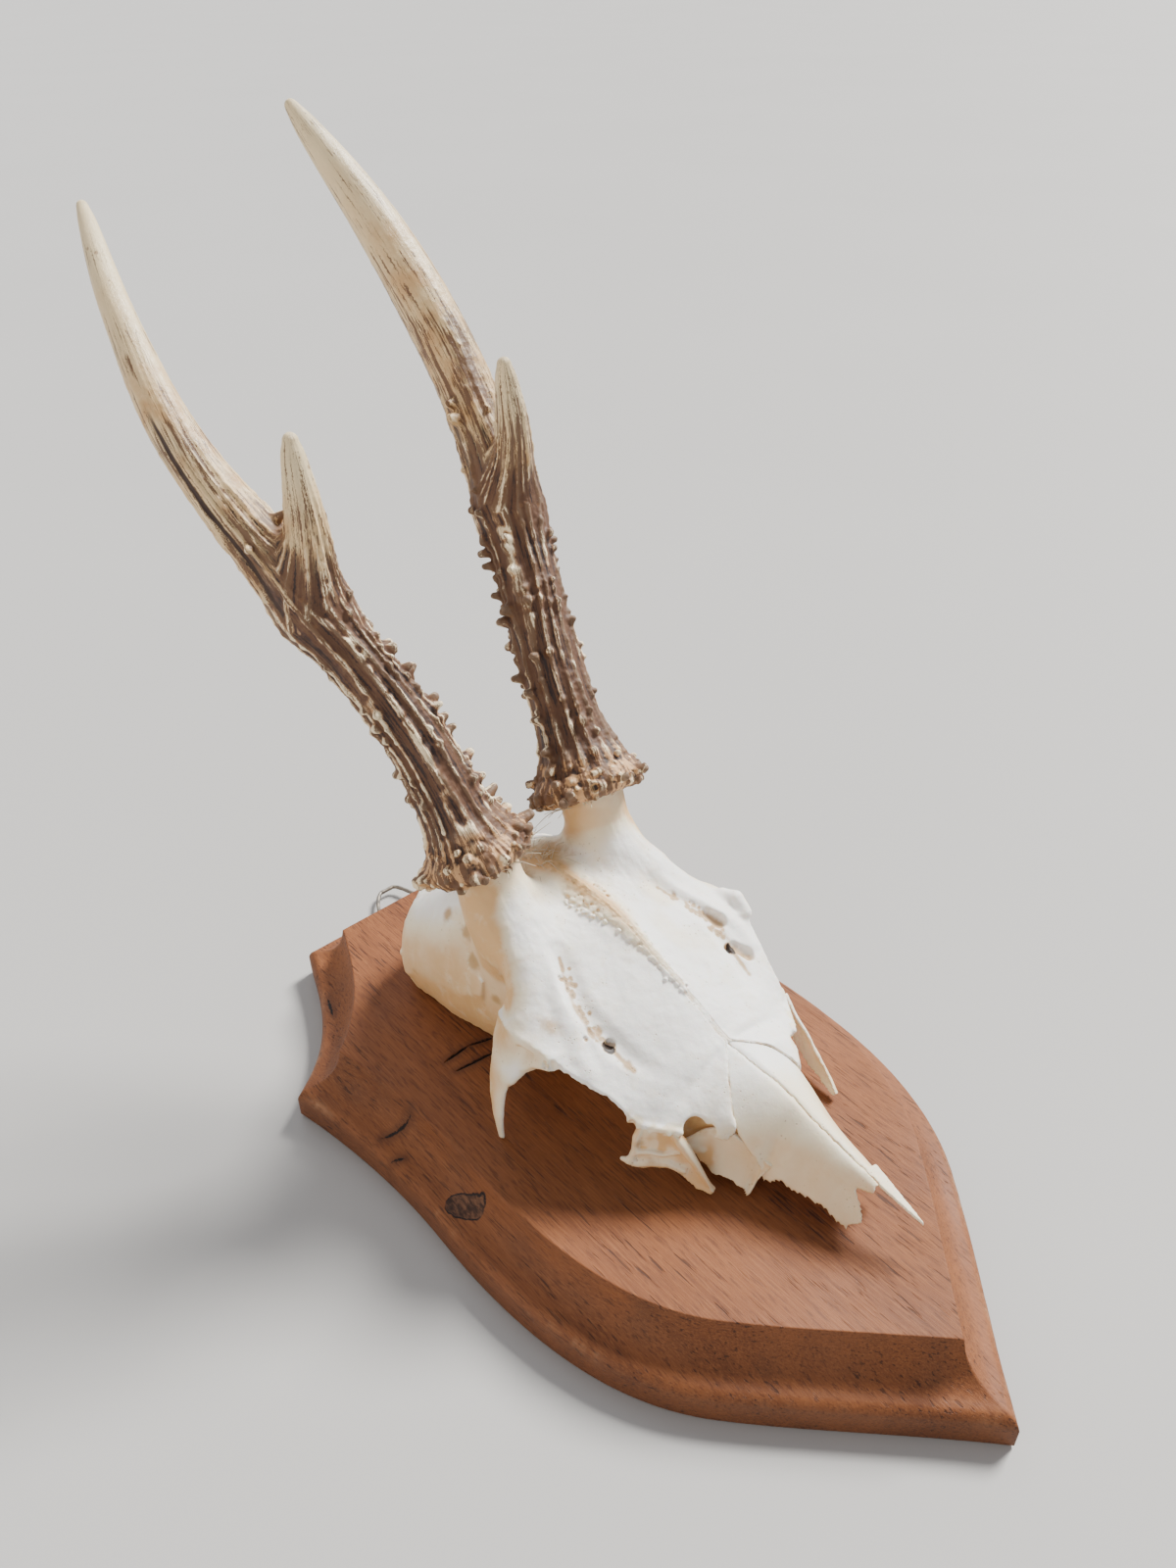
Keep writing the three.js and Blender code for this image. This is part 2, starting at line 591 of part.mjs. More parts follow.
// The crown of pearls round the antler's foot.
function burrRings(shape) {
  const { centre, along } = shape.burrFrame;
  const across = vector(1, 0, 0).cross(along).normalize();
  const sideways = along.clone().cross(across);
  const profile = [[-0.5, 0.72], [-0.38, 0.93], [-0.1, 1.06], [0.16, 1.02], [0.36, 0.86], [0.5, 0.72]];
  return profile.map(([level, share]) => steps(0, 2 * Math.PI, 3 * BURR_LOBES).slice(0, -1)
    .map((angle) => {
      const lobe = 1 + 0.055 * Math.sin(BURR_LOBES * angle + 4 * level) + 0.03 * Math.sin(5 * angle);
      const radius = shape.plan.burrRadius * share * lobe;
      return centre.clone()
        .addScaledVector(along, level * BURR_THICKNESS)
        .addScaledVector(sideways, radius * Math.cos(angle))
        .addScaledVector(across, radius * Math.sin(angle));
    }));
}

function frontTineCurve(shape) {
  const base = shape.curve.getPointAt(FORK_SHARE - 0.03);
  const tip = vector(...shape.plan.frontTine);
  const direction = shape.curve.getTangentAt(FORK_SHARE - 0.03);
  const middle = base.clone().lerp(tip, 0.5).addScaledVector(direction, 1.5)
    .add(vector(0, -TINE_BOW, 0));
  return new THREE.CatmullRomCurve3([base, middle, tip], false, 'centripetal');
}

function antler(side, name) {
  const shape = antlerShapes[side];
  const { curve, length, plan } = shape;
  const start = BURR_THICKNESS / 2 + JOINT_GAP;
  const fork = FORK_SHARE * length;
  const radiusAt = (distance, angle) => plan.radius(distance) + roughness(distance, angle);
  const beamStations = steps(start, fork - JOINT_GAP / 2, 19);
  const mainStations = steps(fork + JOINT_GAP / 2, length - TIP_APEX, 17);
  const beam = loft(ringsAlong(curve, beamStations, BEAM_SIDES, radiusAt));
  const main = loft(ringsAlong(curve, mainStations, BEAM_SIDES, radiusAt),
    { endApex: curve.getPointAt(1) });

  const tineCurve = frontTineCurve(shape);
  const tineLength = tineCurve.getLength();
  const radiusByShare = smoothThrough([[0, 7.4], [0.3, 6.1], [0.5, 5.1], [0.67, 4.4], [0.82, 3.6],
    [0.95, 2.6], [1, 1.6]]);
  const tineRadius = (distance) => radiusByShare(distance / tineLength);
  const tineStations = steps(TIP_APEX, tineLength - TIP_APEX, 12);
  const tineRings = ringsAlong(tineCurve, tineStations, TINE_SIDES, tineRadius);
  const tineWhole = toSolid(loft(tineRings, { endApex: tineCurve.getPointAt(1) }));
  const swollen = (distance, angle) => radiusAt(distance, angle) + JOINT_GAP;
  const nearFork = [...beamStations.slice(-12), ...mainStations.slice(0, 8)];
  const around = loft(ringsAlong(curve, nearFork, BEAM_SIDES, swollen));
  const pieces = tineWhole.subtract(toSolid(around)).decompose();
  const tine = pieces.reduce((best, piece) => (piece.volume() > best.volume() ? piece : best));

  return [
    named(`antler_${name}_burr`, loft(burrRings(shape)), antlerBrown),
    named(`antler_${name}_beam`, beam, antlerBrown),
    named(`antler_${name}_main_tine`, main, antlerIvory),
    named(`antler_${name}_front_tine`, toGeometry(tine), antlerIvory),
  ];
}

// ---------------------------------------------------------------- assembly
const skull = new THREE.Group();
skull.position.set(SKULL_X, SKULL_Y, BOARD_THICKNESS);
skull.rotation.z = SKULL_YAW;
for (const [side, name] of [[LEFT, 'left'], [RIGHT, 'right']]) {
  skull.add(...frontalBones(side, name));
  skull.add(nasal(side, name, side === LEFT));
  skull.add(maxilla(side, name));
  skull.add(...antler(side, name));
}
skull.add(leftLacrimal());
skull.add(rightLacrimal());
skull.add(braincase());

const group = new THREE.Group();
group.add(shieldBoard());
group.add(hangerWire());
group.add(skull);
export default group;
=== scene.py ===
# Roe deer skull cap with antlers on a wooden shield plaque: the visual model.
# Lengths in the modelling functions are millimetres; MM turns them into Blender's metres.
import math

import bpy
import numpy as np
import openvdb
from mathutils import Matrix, Vector
from mathutils.geometry import delaunay_2d_cdt


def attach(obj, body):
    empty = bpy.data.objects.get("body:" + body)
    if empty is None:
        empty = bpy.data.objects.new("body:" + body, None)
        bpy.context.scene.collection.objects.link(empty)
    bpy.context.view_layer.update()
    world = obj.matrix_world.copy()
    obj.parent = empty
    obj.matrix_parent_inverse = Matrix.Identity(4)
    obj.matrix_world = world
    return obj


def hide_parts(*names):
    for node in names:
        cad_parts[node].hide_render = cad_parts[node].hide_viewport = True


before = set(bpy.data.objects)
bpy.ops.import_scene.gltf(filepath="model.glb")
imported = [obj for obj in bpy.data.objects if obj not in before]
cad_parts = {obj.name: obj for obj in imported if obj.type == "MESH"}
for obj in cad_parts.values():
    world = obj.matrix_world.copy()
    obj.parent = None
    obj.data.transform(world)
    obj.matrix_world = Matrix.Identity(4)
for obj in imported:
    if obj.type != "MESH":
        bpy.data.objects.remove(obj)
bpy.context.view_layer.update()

MM = 0.001

# ---------------------------------------------------------------- driving dimensions
LEFT = 1
RIGHT = -1
SIDE_NAMES = {LEFT: "left", RIGHT: "right"}

BOARD_LENGTH = 245.5
BOARD_THICKNESS = 22.5
BOARD_TOP_HALF_WIDTH = 40.0
SHOULDER_HALF_WIDTH = 73.7
SHOULDER_Y = 72.3
WAIST_HALF_WIDTH = 67.2
MOULDING_WIDTH = 12.0
EDGE_HEIGHT = 10.4

# Cracks in the plaque, seen from above: start, end and depth.
CRACKS = [((-39.7, 42.6), (-31.0, 43.0), 0.6), ((-31.0, 43.0), (-23.4, 40.4), 0.7),
          ((-39.7, 37.7), (-26.9, 35.9), 0.5), ((-46.7, 98.8), (-49.6, 91.0), 0.4),
          ((-64.1, 40.8), (-56.7, 36.2), 0.5), ((-66.2, 33.0), (-63.4, 31.0), 0.4),
          ((-27.4, 24.4), (-20.0, 27.0), 0.2)]
KNOT = ((-61.8, 9.5), (-59.0, 3.1))
KNOT_RADIUS = 2.9

WIRE_DIAMETER = 1.5
WIRE_HEIGHT = 2.6

SKULL_PLACE = (2.0, 26.0, BOARD_THICKNESS)
SKULL_YAW = math.radians(4)
CUT_PLANE = 0.3
CORONAL_SUTURE_Y = 24.0
OCCIPUT_Y = 62.0
SUTURE_LAP = 0.4

# Grid sizes, and how many of each small detail there are.
SKULL_VOXEL = 0.46
PLATE_VOXEL = 0.32
ANTLER_VOXEL = 0.36
SUTURE_GRANULES = 1900
PEARL_TRIES = 520
BURR_CRUMBS = 110
BURR_CHIPS = 45
HAIRS = 96
BURR_HAIRS = 34
OUTLINE_COUNTS = ((300, 56, 66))
FACE_SPACING = 1.3

CAMERA_PLACE = (-156.9, -159.0, 285.0)
CAMERA_HEADING = math.radians(40.79)
CAMERA_PITCH = math.radians(35.74)
CAMERA_ROLL = math.radians(1.26)
CAMERA_LENS = 27.0

random = np.random.default_rng(20)


# ---------------------------------------------------------------- numbers and noise
def curve_through(*pairs):
    """A smooth function through (position, value) pairs, flat beyond both ends."""
    places, values = np.array(pairs, float).T
    last = len(places) - 1
    before = np.maximum(np.arange(last + 1) - 1, 0)
    after = np.minimum(np.arange(last + 1) + 1, last)
    slopes = (values[after] - values[before]) / (places[after] - places[before])

    def value(position):
        q = np.clip(position, places[0], places[-1])
        i = np.clip(np.searchsorted(places, q, side="right") - 1, 0, last - 1)
        width = places[i + 1] - places[i]
        t = (q - places[i]) / width
        return (values[i] * (2 * t**3 - 3 * t**2 + 1) + values[i + 1] * (3 * t**2 - 2 * t**3)
                + width * (slopes[i] * (t**3 - 2 * t**2 + t) + slopes[i + 1] * (t**3 - t**2)))

    return value


def smoothstep(q, low, high):
    t = np.clip((q - low) / (high - low), 0, 1)
    return t * t * (3 - 2 * t)


def mix(a, b, t):
    return a + (b - a) * t


def smooth_min(a, b, width):
    """The smaller of two distances, rounded over a width where they meet."""
    t = np.clip(0.5 + 0.5 * (b - a) / width, 0, 1)
    return mix(b, a, t) - width * t * (1 - t)


def smooth_max(a, b, width):
    return -smooth_min(-a, -b, width)


def bell(value, width):
    """1 where a value is zero, falling smoothly to 0 over about two widths on both sides."""
    return np.exp(-((value / width) ** 2))


def turn_between(a, b):
    """The smaller angle between two directions."""
    return np.abs((a - b + math.pi) % (2 * math.pi) - math.pi)


def unit(vectors):
    return vectors / np.linalg.norm(vectors, axis=1)[:, None]


def lengths_along(line):
    """How far along a line each of its points is."""
    return np.concatenate([[0], np.cumsum(np.linalg.norm(np.diff(line, axis=0), axis=1))])


def points_at(wanted, places, line):
    """Where a line is at wanted places along it, given the places of its points."""
    return np.stack([np.interp(wanted, places, column) for column in line.T], axis=-1)


def between_cells(grid, low, high, shares):
    """A grid's values at shares of the way from its low cells to its high ones."""
    (i, j, k), (i1, j1, k1), (u, v, w) = low, high, shares
    near = mix(mix(grid[i, j, k], grid[i1, j, k], u), mix(grid[i, j1, k], grid[i1, j1, k], u), v)
    far = mix(mix(grid[i, j, k1], grid[i1, j, k1], u), mix(grid[i, j1, k1], grid[i1, j1, k1], u), v)
    return mix(near, far, w)


class Noise:
    """Smooth noise from -1 to 1 on a lattice that repeats."""

    SIZE = 64

    def __init__(self, seed):
        draws = np.random.default_rng(seed)
        self.lattice = draws.uniform(-1, 1, (self.SIZE,) * 3).astype(np.float32)

    def __call__(self, x, y, z):
        corners, shares = [], []
        for q in (x, y, z):
            q = np.asarray(q, np.float32)
            low = np.floor(q)
            t = q - low
            corners.append(low.astype(np.int32) % self.SIZE)
            shares.append(t * t * (3 - 2 * t))
        after = [(corner + 1) % self.SIZE for corner in corners]
        return between_cells(self.lattice, corners, after, shares)

    def rough(self, x, y, z, octaves=3):
        total, size, scale = 0.0, 1.0, 1.0
        for octave in range(octaves):
            shift = 7.3 * octave
            total = total + size * self(x * scale + shift, y * scale + shift, z * scale - shift)
            size *= 0.5
            scale *= 2.03
        return total


# ---------------------------------------------------------------- distance fields and meshes
HALVES = ((0, 1, 2), (0, 2, 3))


class Field:
    """Distances from a surface on a grid in millimetres, negative inside."""

    def __init__(self, low, high, voxel):
        self.low = np.array(low, float)
        self.voxel = voxel
        counts = np.ceil((np.array(high) - self.low) / voxel).astype(int) + 1
        axes = [np.float32(self.low[i]) + np.arange(counts[i], dtype=np.float32) * np.float32(voxel)
                for i in range(3)]
        self.x = axes[0][:, None, None]
        self.y = axes[1][None, :, None]
        self.z = axes[2][None, None, :]
        self.values = np.full(counts, 1000.0, np.float32)

    def window(self, low, high):
        counts = np.array(self.values.shape)
        first = np.clip(np.floor((np.array(low) - self.low) / self.voxel).astype(int), 0, counts)
        last = np.clip(np.ceil((np.array(high) - self.low) / self.voxel).astype(int) + 1, 0, counts)
        return tuple(slice(a, b) for a, b in zip(first, last))

    def near(self, window):
        a, b, c = window
        return self.x[a], self.y[:, b], self.z[:, :, c]

    def ball(self, centre, radius, blend, stretch=(1, 1, 1), carve=False):
        """Adds a rounded blob, or with carve takes one away."""
        reach = radius * max(stretch) + 3 * blend + 2 * self.voxel
        window = self.window(np.array(centre) - reach, np.array(centre) + reach)
        x, y, z = self.near(window)
        distance = np.sqrt(((x - centre[0]) / stretch[0]) ** 2 + ((y - centre[1]) / stretch[1]) ** 2
                           + ((z - centre[2]) / stretch[2]) ** 2) - radius
        self.join(window, distance, blend, carve)

    def rods(self, centres, radii, blend, carve=False):
        """Adds one bent, tapered rod through several centres, or with carve takes it away."""
        centres = np.array(centres, float)
        reach = max(radii) + 2 * blend + 2 * self.voxel
        window = self.window(centres.min(0) - reach, centres.max(0) + reach)
        x, y, z = self.near(window)
        nearest = None
        for i in range(len(centres) - 1):
            start, along = centres[i], centres[i + 1] - centres[i]
            share = ((x - start[0]) * along[0] + (y - start[1]) * along[1]
                     + (z - start[2]) * along[2]) / along.dot(along)
            share = np.clip(share, 0, 1)
            distance = np.sqrt((x - start[0] - share * along[0]) ** 2 + (y - start[1] - share * along[1]) ** 2
                               + (z - start[2] - share * along[2]) ** 2) - mix(radii[i], radii[i + 1], share)
            nearest = distance if nearest is None else np.minimum(nearest, distance)
        self.join(window, nearest, blend, carve)

    def join(self, window, distance, blend, carve):
        """Blends a shape into what a window holds already, or with carve out of it."""
        before = self.values[window]
        self.values[window] = (smooth_max(before, -distance, blend) if carve
                               else smooth_min(before, distance, blend))

    def sample(self, grid, points):
        """A grid's values at points, blended between its cells."""
        place = (points - self.low) / self.voxel
        low = np.clip(np.floor(place).astype(int), 0, np.array(grid.shape) - 2)
        return between_cells(grid, low.T, low.T + 1, np.clip(place - low, 0, 1).T)

    def surface(self, values):
        """Points, four-cornered faces and normals where the distances cross zero, with no crumbs."""
        band = 3 * self.voxel
        grid = openvdb.FloatGrid(background=band)
        grid.copyFromArray(np.clip(values, -band, band).astype(np.float32))
        points, _, quads = grid.convertToPolygons(isovalue=0.0, adaptivity=0.0)
        points, quads = without_crumbs(points * self.voxel + self.low, quads.astype(int))
        volume = sum(np.einsum("ij,ij->i", a, np.cross(b, c)).sum() for a, b, c in halves(points, quads))
        if volume < 0:
            quads = quads[:, ::-1]
        return points, quads, point_normals(points, quads)


def blurred(grid, reach):
    """A grid averaged over a box of 2 * reach + 1 cells each way."""
    for axis in range(3):
        width = 2 * reach + 1
        padding = [(0, 0)] * 3
        padding[axis] = (reach + 1, reach)
        total = np.cumsum(np.pad(grid, padding, mode="edge"), axis=axis, dtype=np.float32)
        count = grid.shape[axis]
        high = np.take(total, np.arange(width, width + count), axis=axis)
        low = np.take(total, np.arange(0, count), axis=axis)
        grid = (high - low) / width
    return grid


def without_crumbs(points, quads, smallest=60):
    """Drops loose parts with fewer points than the smallest worth keeping."""
    parent = np.arange(len(points))
    edges = np.concatenate([quads[:, [a, (a + 1) % 4]] for a in range(4)])
    while True:
        lowest = np.minimum(parent[edges[:, 0]], parent[edges[:, 1]])
        updated = parent.copy()
        np.minimum.at(updated, edges[:, 0], lowest)
        np.minimum.at(updated, edges[:, 1], lowest)
        updated = updated[updated]
        if (updated == parent).all():
            break
        parent = updated
    sizes = np.bincount(parent, minlength=len(points))
    keep = sizes[parent] >= smallest
    renumbered = np.cumsum(keep) - 1
    return points[keep], renumbered[quads[keep[quads[:, 0]]]]


def halves(points, quads):
    """The corners of the two triangles that make up each face, as places."""
    return [tuple(points[quads[:, i]] for i in corners) for corners in HALVES]


def point_normals(points, quads):
    normals = np.zeros_like(points)
    for corners, (a, b, c) in zip(HALVES, halves(points, quads)):
        normal = np.cross(b - a, c - a)
        for i in corners:
            np.add.at(normals, quads[:, i], normal)
    return normals / np.maximum(np.linalg.norm(normals, axis=1), 1e-12)[:, None]


def make_piece(name, points, faces, finish, slot, nodes, **values):
    """A smooth mesh object from points in millimetres, with named numbers or vectors on its points."""
    mesh = bpy.data.meshes.new(name)
    mesh.vertices.add(len(points))
    mesh.vertices.foreach_set("co", (np.asarray(points) * MM).astype(np.float32).ravel())
    corners = np.concatenate([part.ravel() for part in faces])
    sizes = np.concatenate([np.full(len(part), part.shape[1]) for part in faces])
    mesh.loops.add(len(corners))
    mesh.loops.foreach_set("vertex_index", corners.astype(np.int32))
    mesh.polygons.add(len(sizes))
    starts = np.concatenate([[0], np.cumsum(sizes)[:-1]])
    mesh.polygons.foreach_set("loop_start", starts.astype(np.int32))
    mesh.polygons.foreach_set("loop_total", sizes.astype(np.int32))
    mesh.polygons.foreach_set("use_smooth", np.ones(len(sizes), bool))
    mesh.update(calc_edges=True)
    mesh.validate()
    for title, data in values.items():
        kind, part = ("FLOAT", "value") if data.ndim == 1 else ("FLOAT_VECTOR", "vector")
        mesh.attributes.new(title, kind, "POINT").data.foreach_set(part, data.astype(np.float32).ravel())
    mesh.materials.append(finish)
    piece = bpy.data.objects.new(name, mesh)
    bpy.context.scene.collection.objects.link(piece)
    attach(piece, "root")
    if nodes:
        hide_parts(*nodes)


def on_plaque(points):
    """Points of the skull's own frame, in the plaque's frame."""
    c, s = math.cos(SKULL_YAW), math.sin(SKULL_YAW)
    turned = points @ np.array([[c, s, 0], [-s, c, 0], [0, 0, 1]])
    return turned + np.array(SKULL_PLACE)


# ---------------------------------------------------------------- materials
# The colour sockets of a Mix node, which share their names with sockets of other kinds.
MIX_FIRST, MIX_SECOND, MIX_RESULT = 6, 7, 2


class Value:
    """A node's output, which adds, subtracts and multiplies into further nodes."""

    def __init__(self, nodes, socket):
        self.nodes = nodes
        self.socket = socket

    def __add__(self, other):
        return self.nodes.math("ADD", self, other)

    def __sub__(self, other):
        return self.nodes.math("SUBTRACT", self, other)

    def __mul__(self, other):
        return self.nodes.math("MULTIPLY", self, other)

    def __abs__(self):
        return self.nodes.math("ABSOLUTE", self)


class Nodes:
    """Short calls for building a material out of nodes."""

    def __init__(self, name):
        self.material = bpy.data.materials.new(name)
        self.material.use_nodes = True
        self.tree = self.material.node_tree

    def link(self, source, socket):
        if isinstance(source, Value):
            self.tree.links.new(source.socket, socket)
        else:
            socket.default_value = source

    def node(self, kind, output, inputs, **settings):
        """One output of a new node, whose inputs are given by name or number."""
        node = self.tree.nodes.new("ShaderNode" + kind)
        for title, setting in settings.items():
            setattr(node, title, setting)
        for title, source in inputs.items():
            self.link(source, node.inputs[title])
        return Value(self, node.outputs[output])

    def attribute(self, name, output="Fac"):
        return self.node("Attribute", output, {}, attribute_name=name)

    def place(self):
        return self.node("TexCoord", "Object", {})

    def scaled(self, vector, scale):
        return self.node("Mapping", "Vector", {"Vector": vector, "Scale": scale})

    def off_line(self, vector, start, end):
        """How far a place on the plaque is from a straight line, in millimetres, seen from above."""
        span = np.array(end, float) - start
        flat = self.scaled(vector, (1 / MM, 1 / MM, 0))
        reach = self.vector_math("SUBTRACT", flat, (*start, 0))
        share = self.vector_math("DOT_PRODUCT", reach, (*(span / span.dot(span)), 0), "Value")
        share = self.math("MINIMUM", self.math("MAXIMUM", share, 0.0), 1.0)
        along = {"X": share * float(span[0]), "Y": share * float(span[1])}
        nearest = self.node("CombineXYZ", "Vector", along)
        away = self.vector_math("DISTANCE", reach, nearest, "Value")
        return away + self.between(abs(share - 0.5), 0.2, 0.5, 0.0, 0.35)

    def vector_math(self, operation, a, b, output="Vector"):
        return self.node("VectorMath", output, {0: a, 1: b}, operation=operation)

    def noise(self, vector, scale, detail, roughness=0.55, distortion=0.0):
        inputs = {"Vector": vector, "Scale": scale, "Detail": detail, "Roughness": roughness,
                  "Distortion": distortion}
        return self.node("TexNoise", "Fac", inputs)

    def cells(self, vector, scale):
        return self.node("TexVoronoi", "Distance", {"Vector": vector, "Scale": scale})

    def math(self, operation, a, b=0.0):
        return self.node("Math", 0, {0: a, 1: b}, operation=operation)

    def between(self, value, low, high, start=0.0, end=1.0):
        """A smooth ramp from start to end, as a value goes from low to high."""
        inputs = {"Value": value, "From Min": low, "From Max": high, "To Min": start, "To Max": end}
        return self.node("MapRange", "Result", inputs, interpolation_type="SMOOTHSTEP")

    def blend(self, share, first, second):
        """A share of the way from one colour to another."""
        first, second = ((*color, 1.0) if isinstance(color, tuple) else color for color in (first, second))
        return self.node("Mix", MIX_RESULT, {"Factor": share, MIX_FIRST: first, MIX_SECOND: second},
                         data_type="RGBA")

    def coat(self, color, tone, value, low, high, most=1.0):
        """A colour, covered by another as a value goes from low to high."""
        return self.blend(self.between(value, low, high, 0.0, most), color, tone)

    def bump(self, height, strength, distance, **base):
        inputs = {"Height": height, "Strength": strength, "Distance": distance, **base}
        return self.node("Bump", "Normal", inputs)

    def finish(self, color, roughness, **inputs):
        """The material, with its shader's inputs linked or set."""
        shader = self.tree.nodes["Principled BSDF"]
        for title, source in {"Base_Color": color, "Roughness": roughness, **inputs}.items():
            self.link(source, shader.inputs[title.replace("_", " ")])
        return self.material


def bone_material():
    """Bleached bone: white where it faces up and cream to tan on the sides, partly its own tan and partly
    painted shade; darker in the pits and painted dark in the foramen.
    """
    n = Nodes("bone")
    place = n.place()
    broad = n.noise(place, 45, 5)
    fine = n.noise(place, 420, 6, 0.65)
    mottle = n.noise(place, 140, 5, 0.6, 0.4)
    white, cream, tan, brown = (0.94, 0.92, 0.87), (0.88, 0.77, 0.56), (0.7, 0.43, 0.19), (0.02, 0.009, 0.004)
    # The tan value holds painted shade on the bone's sides and undersides as well as its own tan, so the ramp
    # from white to tan is partly painted shade.
    shade = n.attribute("tan") + (broad - 0.5) * 0.7
    color = n.blend(n.between(shade, 0.1, 0.65), white, cream)
    color = n.coat(color, tan, shade, 0.55, 1.2)
    color = n.coat(color, cream, mottle, 0.5, 0.72, 0.36)
    color = n.coat(color, tan, n.noise(place, 85, 6, 0.65, 0.6), 0.56, 0.76, 0.25)
    # The stain value holds painted shade as well as real stains: the near-black at its top end paints the
    # foramen's shadow and darkens the crease and pits.
    stain = n.attribute("stain") + (fine - 0.5) * 0.5 + (mottle - 0.5) * 0.6
    color = n.coat(color, (0.46, 0.27, 0.1), stain, 0.2, 0.7, 0.85)
    color = n.coat(color, brown, stain, 0.85, 1.25)
    dots = n.between(n.cells(place, 700), 0.1, 0.2, 1.0, 0.0) * n.between(mottle, 0.5, 0.62)
    color = n.blend(dots * 0.5, color, (0.42, 0.27, 0.13))
    seam = n.between(abs(n.attribute("seam")) + (fine - 0.5) * 0.5, 0.05, 0.3, 1.0, 0.0)
    broken = n.between(n.noise(place, 260, 3), 0.4, 0.6, 0.1, 0.7)
    color = n.blend(seam * broken, color, (0.58, 0.41, 0.23))
    pores = n.bump(fine - n.math("MAXIMUM", dots, seam) * 0.8, 0.55, 0.0003)
    roughness = n.between(broad, 0.3, 0.7, 0.48, 0.64)
    return n.finish(color, roughness, Normal=n.bump(n.noise(place, 1500, 3), 0.2, 0.0001, Normal=pores),
                    Subsurface_Weight=0.1, Subsurface_Scale=0.002)


def antler_material():
    """Antler: dark furrows, tan ridges and cream pearls, with painted shade in hollows and painted highlight
    on tips, paling to streaked and worn ivory.
    """
    n = Nodes("antler")
    flow = n.attribute("flow", "Vector")
    place = n.place()
    streak = n.noise(n.scaled(flow, (1.7, 1.7, 0.7)), 1.0, 6, 0.62, 0.2)
    straight = n.noise(n.scaled(flow, (2.6, 2.6, 0.22)), 1.0, 4, 0.6)
    fibre = n.noise(n.scaled(flow, (4.2, 4.2, 1.1)), 1.0, 5, 0.62)
    blotch = n.noise(place, 150, 5, 0.6)
    wide = n.noise(place, 55, 3, 0.6)
    grains = n.noise(place, 1100, 3, 0.6)
    relief, crest, bare = (n.attribute(title) for title in ("relief", "crest", "bare"))

    # relief lightens the tips of pearls and ridges and darkens the hollows between them: the antler's own
    # colouring, with painted highlight and painted shade.
    height = (relief * 1.1 + crest * 2.6 + (streak - 0.5) * 2.6 + (straight - 0.5) * 4.6
              + (fibre - 0.5) * 2.6 + (grains - 0.5) * 1.4 - 0.55)
    color = n.blend(n.between(height, -0.9, 0.0), (0.022, 0.009, 0.007), (0.085, 0.037, 0.024))
    color = n.coat(color, (0.5, 0.29, 0.14), height, 0.1, 0.6)
    color = n.coat(color, (0.94, 0.79, 0.53), height, 0.7, 1.5)
    dusty = n.between(n.attribute("low"), 0.02, 0.6) * n.between(wide, 0.42, 0.6, 0.0, 0.8)
    color = n.blend(dusty, color, (0.48, 0.32, 0.2))

    # The burr: dark in its hollows and cream on its lobes' tips, partly painted shade and painted highlight.
    crumb = relief * 1.9 + (grains - 0.5) * 1.6 + (blotch - 0.5) * 2.2
    lobes = n.blend(n.between(crumb, -0.7, 0.1), (0.035, 0.016, 0.01), (0.6, 0.34, 0.155))
    lobes = n.coat(lobes, (0.92, 0.75, 0.48), crumb, 0.8, 1.9)
    color = n.coat(color, lobes, n.attribute("low"), 0.25, 0.85)

    ivory = n.blend(n.between(blotch, 0.35, 0.7), (0.78, 0.58, 0.31), (0.58, 0.34, 0.14))
    ivory = n.coat(ivory, (0.8, 0.65, 0.39), bare + (wide - 0.5) * 0.8, 0.4, 1.0)
    paling = bare + (streak - 0.5) * 1.3 + (fibre - 0.5) * 0.7 + crest * 0.14
    color = n.coat(color, ivory, paling, 0.06, 0.34)
    lines = (fibre * 0.4 + streak * 0.3 + straight * 0.3 + (wide - 0.5) * 0.24 - bare * 0.1 - crest * 0.03
             + n.attribute("streaky") * 0.055)
    color = n.coat(color, (0.11, 0.045, 0.018), lines, 0.485, 0.525, 0.92)
    spots = n.between(n.cells(place, 260), 0.12, 0.2, 1.0, 0.0) * n.between(wide, 0.52, 0.6)
    color = n.blend(spots * 0.6, color, (0.2, 0.09, 0.035))
    groove = n.between(n.attribute("furrow") + (fibre - 0.5) * 0.5, 0.35, 0.75)
    color = n.blend(groove, color, (0.04, 0.017, 0.01))
    bump = n.bump(fibre * 0.8 + grains * 0.5, 0.55, 0.00035)
    return n.finish(color, n.between(bare, 0.0, 0.6, 0.62, 0.38), Normal=bump)


